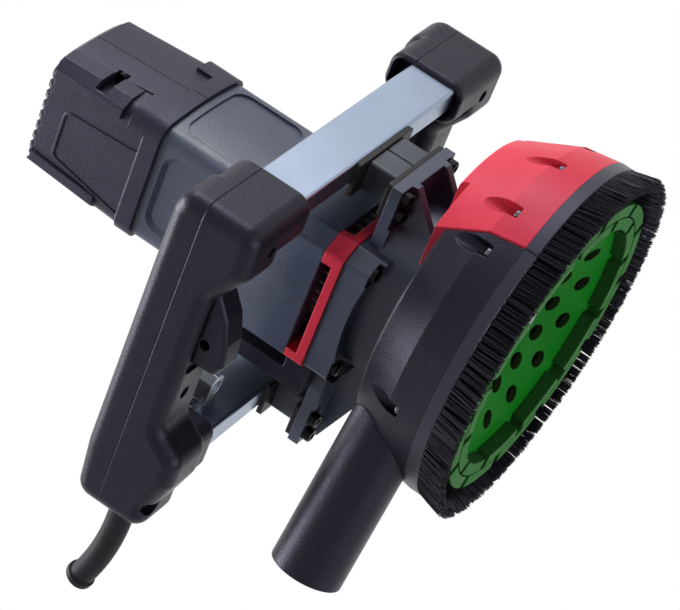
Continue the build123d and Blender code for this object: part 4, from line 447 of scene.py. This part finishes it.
OWN_MATERIALS = {
    "switch_handle_wheel_shell": HANDLE_PLASTIC,
    "switch_handle_motor_shell": HANDLE_PLASTIC,
    "support_handle_wheel_shell": HANDLE_PLASTIC,
    "support_handle_motor_shell": HANDLE_PLASTIC,
    "cable_sleeve": soft_rubber("cable sleeve rubber", SLEEVE, rough=0.5, gloss=0.14),
    "threaded_block": plated("bright block steel", BRIGHT_STEEL, rough=0.24),
    # The segments' walls take a darker colour as painted shade
    "diamond_segments": painted("gritty segment paint", SEGMENT_GREEN, rough=0.6, peel=0.3, gloss=0.1,
                                sparkle=0.45, wall_shade=SEGMENT_WALL_SHADE),
}


def paint(piece, slot):
    """The material of the slot, or the piece's own where it has one."""
    piece.data.materials.clear()
    piece.data.materials.append(OWN_MATERIALS.get(piece.name, MATERIALS[slot]))


# CAD nodes with softened edges
def soften(piece, width, angle):
    weld = piece.modifiers.new("join", "WELD")
    weld.merge_threshold = JOIN_DISTANCE * MM
    flat = piece.modifiers.new("flats", "DECIMATE")
    flat.decimate_type = "DISSOLVE"
    flat.angle_limit = FLAT_ANGLE
    if piece.name in CRISP:
        crisp = piece.modifiers.new("edges", "EDGE_SPLIT")
        crisp.split_angle = angle
    else:
        soft = piece.modifiers.new("edges", "BEVEL")
        soft.width = width * MM
        soft.segments = EDGE_SEGMENTS
        soft.limit_method = "ANGLE"
        soft.angle_limit = angle
    piece.data.shade_smooth()
    even = piece.modifiers.new("shading", "WEIGHTED_NORMAL")
    even.keep_sharp = True


def dress_nodes():
    for part in frame["record"]["subparts"]:
        piece = frame["nodes"][part["node"]]
        slot = part["material_slot"]
        paint(piece, slot)
        soften(piece, EDGE_WIDTHS.get(slot, OTHER_EDGE_WIDTH), EDGE_ANGLES.get(part["node"], EDGE_ANGLE))


# Bristles
def piece_from(name, mesh, slot, body):
    data = bpy.data.meshes.new(name)
    mesh.to_mesh(data)
    mesh.free()
    piece = bpy.data.objects.new(name, data)
    bpy.context.scene.collection.objects.link(piece)
    paint(piece, slot)
    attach(piece, body)
    return piece


def turned(angle, radius, z):
    """Point at an angle round the spindle, from millimetres to metres."""
    return Vector((radius * math.cos(angle), radius * math.sin(angle), z)) * MM


def strand(mesh, root, tip, bow, width):
    """A tapering bristle from its root to its tip, bowed most at its middle."""
    line = (tip - root).normalized()
    side = line.orthogonal().normalized()
    other = line.cross(side)
    rings = []
    for step in range(STRAND_STEPS + 1):
        share = step / STRAND_STEPS
        centre = root.lerp(tip, share) + bow * (4 * share * (1 - share))
        size = width * (1 - STRAND_TAPER * share)
        ring = []
        for corner in range(STRAND_SIDES):
            angle = corner * 2 * math.pi / STRAND_SIDES
            ring.append(mesh.verts.new(centre + (side * math.cos(angle) + other * math.sin(angle)) * size))
        rings.append(ring)
    mesh.faces.new(reversed(rings[0]))
    mesh.faces.new(rings[-1])
    for low, high in zip(rings, rings[1:]):
        for corner in range(STRAND_SIDES):
            following = (corner + 1) % STRAND_SIDES
            mesh.faces.new((low[corner], low[following], high[following], high[corner]))


def band(mesh, start, end, proud):
    """The strip that holds the bristles, with softened edges; start and end give the angle at a radius."""
    inner = BAND_INNER + proud
    outer = BAND_OUTER + proud
    section = [(inner, BAND_LOW + BAND_SOFT), (inner + BAND_SOFT, BAND_LOW), (outer - BAND_SOFT, BAND_LOW),
               (outer, BAND_LOW + BAND_SOFT), (outer, BAND_HIGH), (inner, BAND_HIGH)]
    steps = max(BAND_FEWEST_STEPS, round(math.degrees(end(outer) - start(outer)) / BAND_STEP_DEGREES))
    rings = []
    for step in range(steps + 1):
        share = step / steps
        angles = [start(r) + (end(r) - start(r)) * share for r, z in section]
        rings.append([mesh.verts.new(turned(angle, r, z)) for angle, (r, z) in zip(angles, section)])
    mesh.faces.new(rings[0])
    mesh.faces.new(reversed(rings[-1]))
    count = len(section)
    for first, second in zip(rings, rings[1:]):
        for corner in range(count):
            following = (corner + 1) % count
            mesh.faces.new((first[corner], second[corner], second[following], first[following]))


def around(half):
    return random.uniform(-half, half)


def tuft(mesh, angle, radius):
    """Strands that leave one hole of the band and fan out a little, with ragged tips."""
    lean = SPLAY + around(TUFT_LEAN)
    drift = around(TUFT_LEAN)
    for _ in range(TUFT_STRANDS):
        along = around(TUFT_SPREAD)
        across = around(TUFT_DEPTH)
        root = turned(angle + along / radius, radius + across, BAND_LOW + BAND_SOFT)
        tip_angle = angle + (along * random.uniform(*TUFT_FAN) + drift) / radius
        tip = turned(tip_angle, radius + TUFT_FLARE * across + lean, random.uniform(0, TUFT_RAGGED))
        bow = turned(angle, around(STRAND_BOW_OUT), around(STRAND_BOW_UP))
        strand(mesh, root, tip, bow, STRAND_RADIUS * MM * random.uniform(*STRAND_WIDTHS))


def tufts(mesh, start, end, proud):
    """Rows of tufts, evenly spaced along the band."""
    depth = (BAND_OUTER - BAND_INNER) / TUFT_ROWS
    for row in range(TUFT_ROWS):
        radius = BAND_INNER + proud + (row + 0.5) * depth
        first, last = start(radius), end(radius)
        count = max(1, round((last - first) * radius / TUFT_PITCH))
        for number in range(count):
            tuft(mesh, first + (last - first) * (number + 0.5) / count, radius)


def brush(name, node, body, start, end, proud):
    mesh = bmesh.new()
    band(mesh, start, end, proud)
    tufts(mesh, start, end, proud)
    piece = piece_from(name, mesh, "bristle", body)
    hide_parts(node)


def hood_share(share):
    """Angle at a radius, for a share of the hood's brush from one side of the edge segment to the other."""
    def angle(radius):
        half = math.asin((EDGE_HALF_WIDTH + EDGE_GAP) / radius)
        return -math.pi / 2 + half + (2 * math.pi - 2 * half) * share
    return angle


def edge_share(share):
    """Angle at a radius, for a share of the edge segment's brush."""
    def angle(radius):
        half = math.asin(EDGE_HALF_WIDTH / radius)
        return -math.pi / 2 - half + 2 * half * share
    return angle


def brushes():
    for number in range(HOOD_STRIPS):
        start, end = hood_share(number / HOOD_STRIPS), hood_share((number + 1) / HOOD_STRIPS)
        brush(f"bristles_{number + 1}", f"brush_strip_{number + 1}", "machine", start, end, 0)
    for number in range(EDGE_STRIPS):
        start, end = edge_share(number / EDGE_STRIPS), edge_share((number + 1) / EDGE_STRIPS)
        brush(f"edge_bristles_{number + 1}", f"edge_brush_strip_{number + 1}", "hood_segment", start, end,
              EDGE_PROUD)


# Stage
def camera():
    data = bpy.data.cameras.new("camera")
    data.sensor_fit = "HORIZONTAL"
    data.sensor_width = SENSOR
    data.lens = FOCAL_PIXELS / PHOTO_WIDTH * SENSOR
    data.clip_start = NEAREST
    data.clip_end = FARTHEST
    eye = bpy.data.objects.new("camera", data)
    turn = Matrix((CAMERA_RIGHT, -CAMERA_DOWN, -CAMERA_FORWARD)).transposed().to_4x4()
    eye.matrix_world = Matrix.Translation(CAMERA_PLACE) @ turn
    bpy.context.scene.collection.objects.link(eye)
    bpy.context.scene.camera = eye


def floor_material():
    """Pale round the object, where its shadow falls, and white further out; clear to all but the camera."""
    material, tree, shader = shader_of("pale floor")
    shader.inputs["Base Color"].default_value = FLOOR_COLOUR
    shader.inputs["Roughness"].default_value = FLOOR_ROUGH
    shader.inputs["Specular IOR Level"].default_value = 0.0
    white = add_node(tree, "ShaderNodeEmission", Color=WHITE, Strength=1.0)
    distance = tree.nodes.new("ShaderNodeVectorMath")
    distance.operation = "LENGTH"
    tree.links.new(object_place(tree), distance.inputs[0])
    far = span(tree, distance.outputs["Value"], 0.0, 1.0, FLOOR_PALE, FLOOR_WHITE)
    ground = mixed(tree, far, shader.outputs["BSDF"], white.outputs["Emission"])
    clear = tree.nodes.new("ShaderNodeBsdfTransparent").outputs["BSDF"]
    unseen = span(tree, tree.nodes.new("ShaderNodeLightPath").outputs["Is Camera Ray"], 1.0, 0.0, 0.0, 1.0)
    behind = tree.nodes.new("ShaderNodeNewGeometry").outputs["Backfacing"]
    surface = mixed(tree, either(tree, behind, unseen), ground, clear)
    tree.links.new(surface, tree.nodes["Material Output"].inputs["Surface"])
    return material


def floor():
    """Floor that is seen from above only, so that the photograph's low view looks past it."""
    mesh = bmesh.new()
    bmesh.ops.create_grid(mesh, x_segments=1, y_segments=1, size=FLOOR_SIZE)
    data = bpy.data.meshes.new("floor")
    mesh.to_mesh(data)
    mesh.free()
    data.materials.append(floor_material())
    piece = bpy.data.objects.new("floor", data)
    piece.location.z = FLOOR_HEIGHT
    bpy.context.scene.collection.objects.link(piece)


def area_light(name, direction, distance, size, power):
    data = bpy.data.lights.new(name, "AREA")
    data.size = size
    data.energy = power
    lamp = bpy.data.objects.new(name, data)
    place = Vector(direction).normalized() * distance
    lamp.location = LAMP_TARGET + place
    lamp.rotation_euler = (-place).to_track_quat("-Z", "Y").to_euler()
    bpy.context.scene.collection.objects.link(lamp)


def world():
    sky = bpy.data.worlds.new("studio")
    bpy.context.scene.world = sky
    sky.use_nodes = True
    tree = sky.node_tree
    base = tree.nodes["Background"]
    base.inputs["Color"].default_value = SKY
    base.inputs["Strength"].default_value = SKY_STRENGTH
    white = add_node(tree, "ShaderNodeBackground", Color=WHITE, Strength=1.0)
    path = tree.nodes.new("ShaderNodeLightPath")
    mirrored = either(tree, path.outputs["Is Glossy Ray"], path.outputs["Is Transmission Ray"])
    seen = either(tree, path.outputs["Is Camera Ray"], mirrored)
    surface = mixed(tree, seen, base.outputs["Background"], white.outputs["Background"])
    tree.links.new(surface, tree.nodes["World Output"].inputs["Surface"])


dress_nodes()
brushes()
camera()
floor()
world()
for lamp_name, lamp_values in LAMPS.items():
    area_light(lamp_name, **lamp_values)
bpy.context.scene.view_settings.view_transform = "Standard"
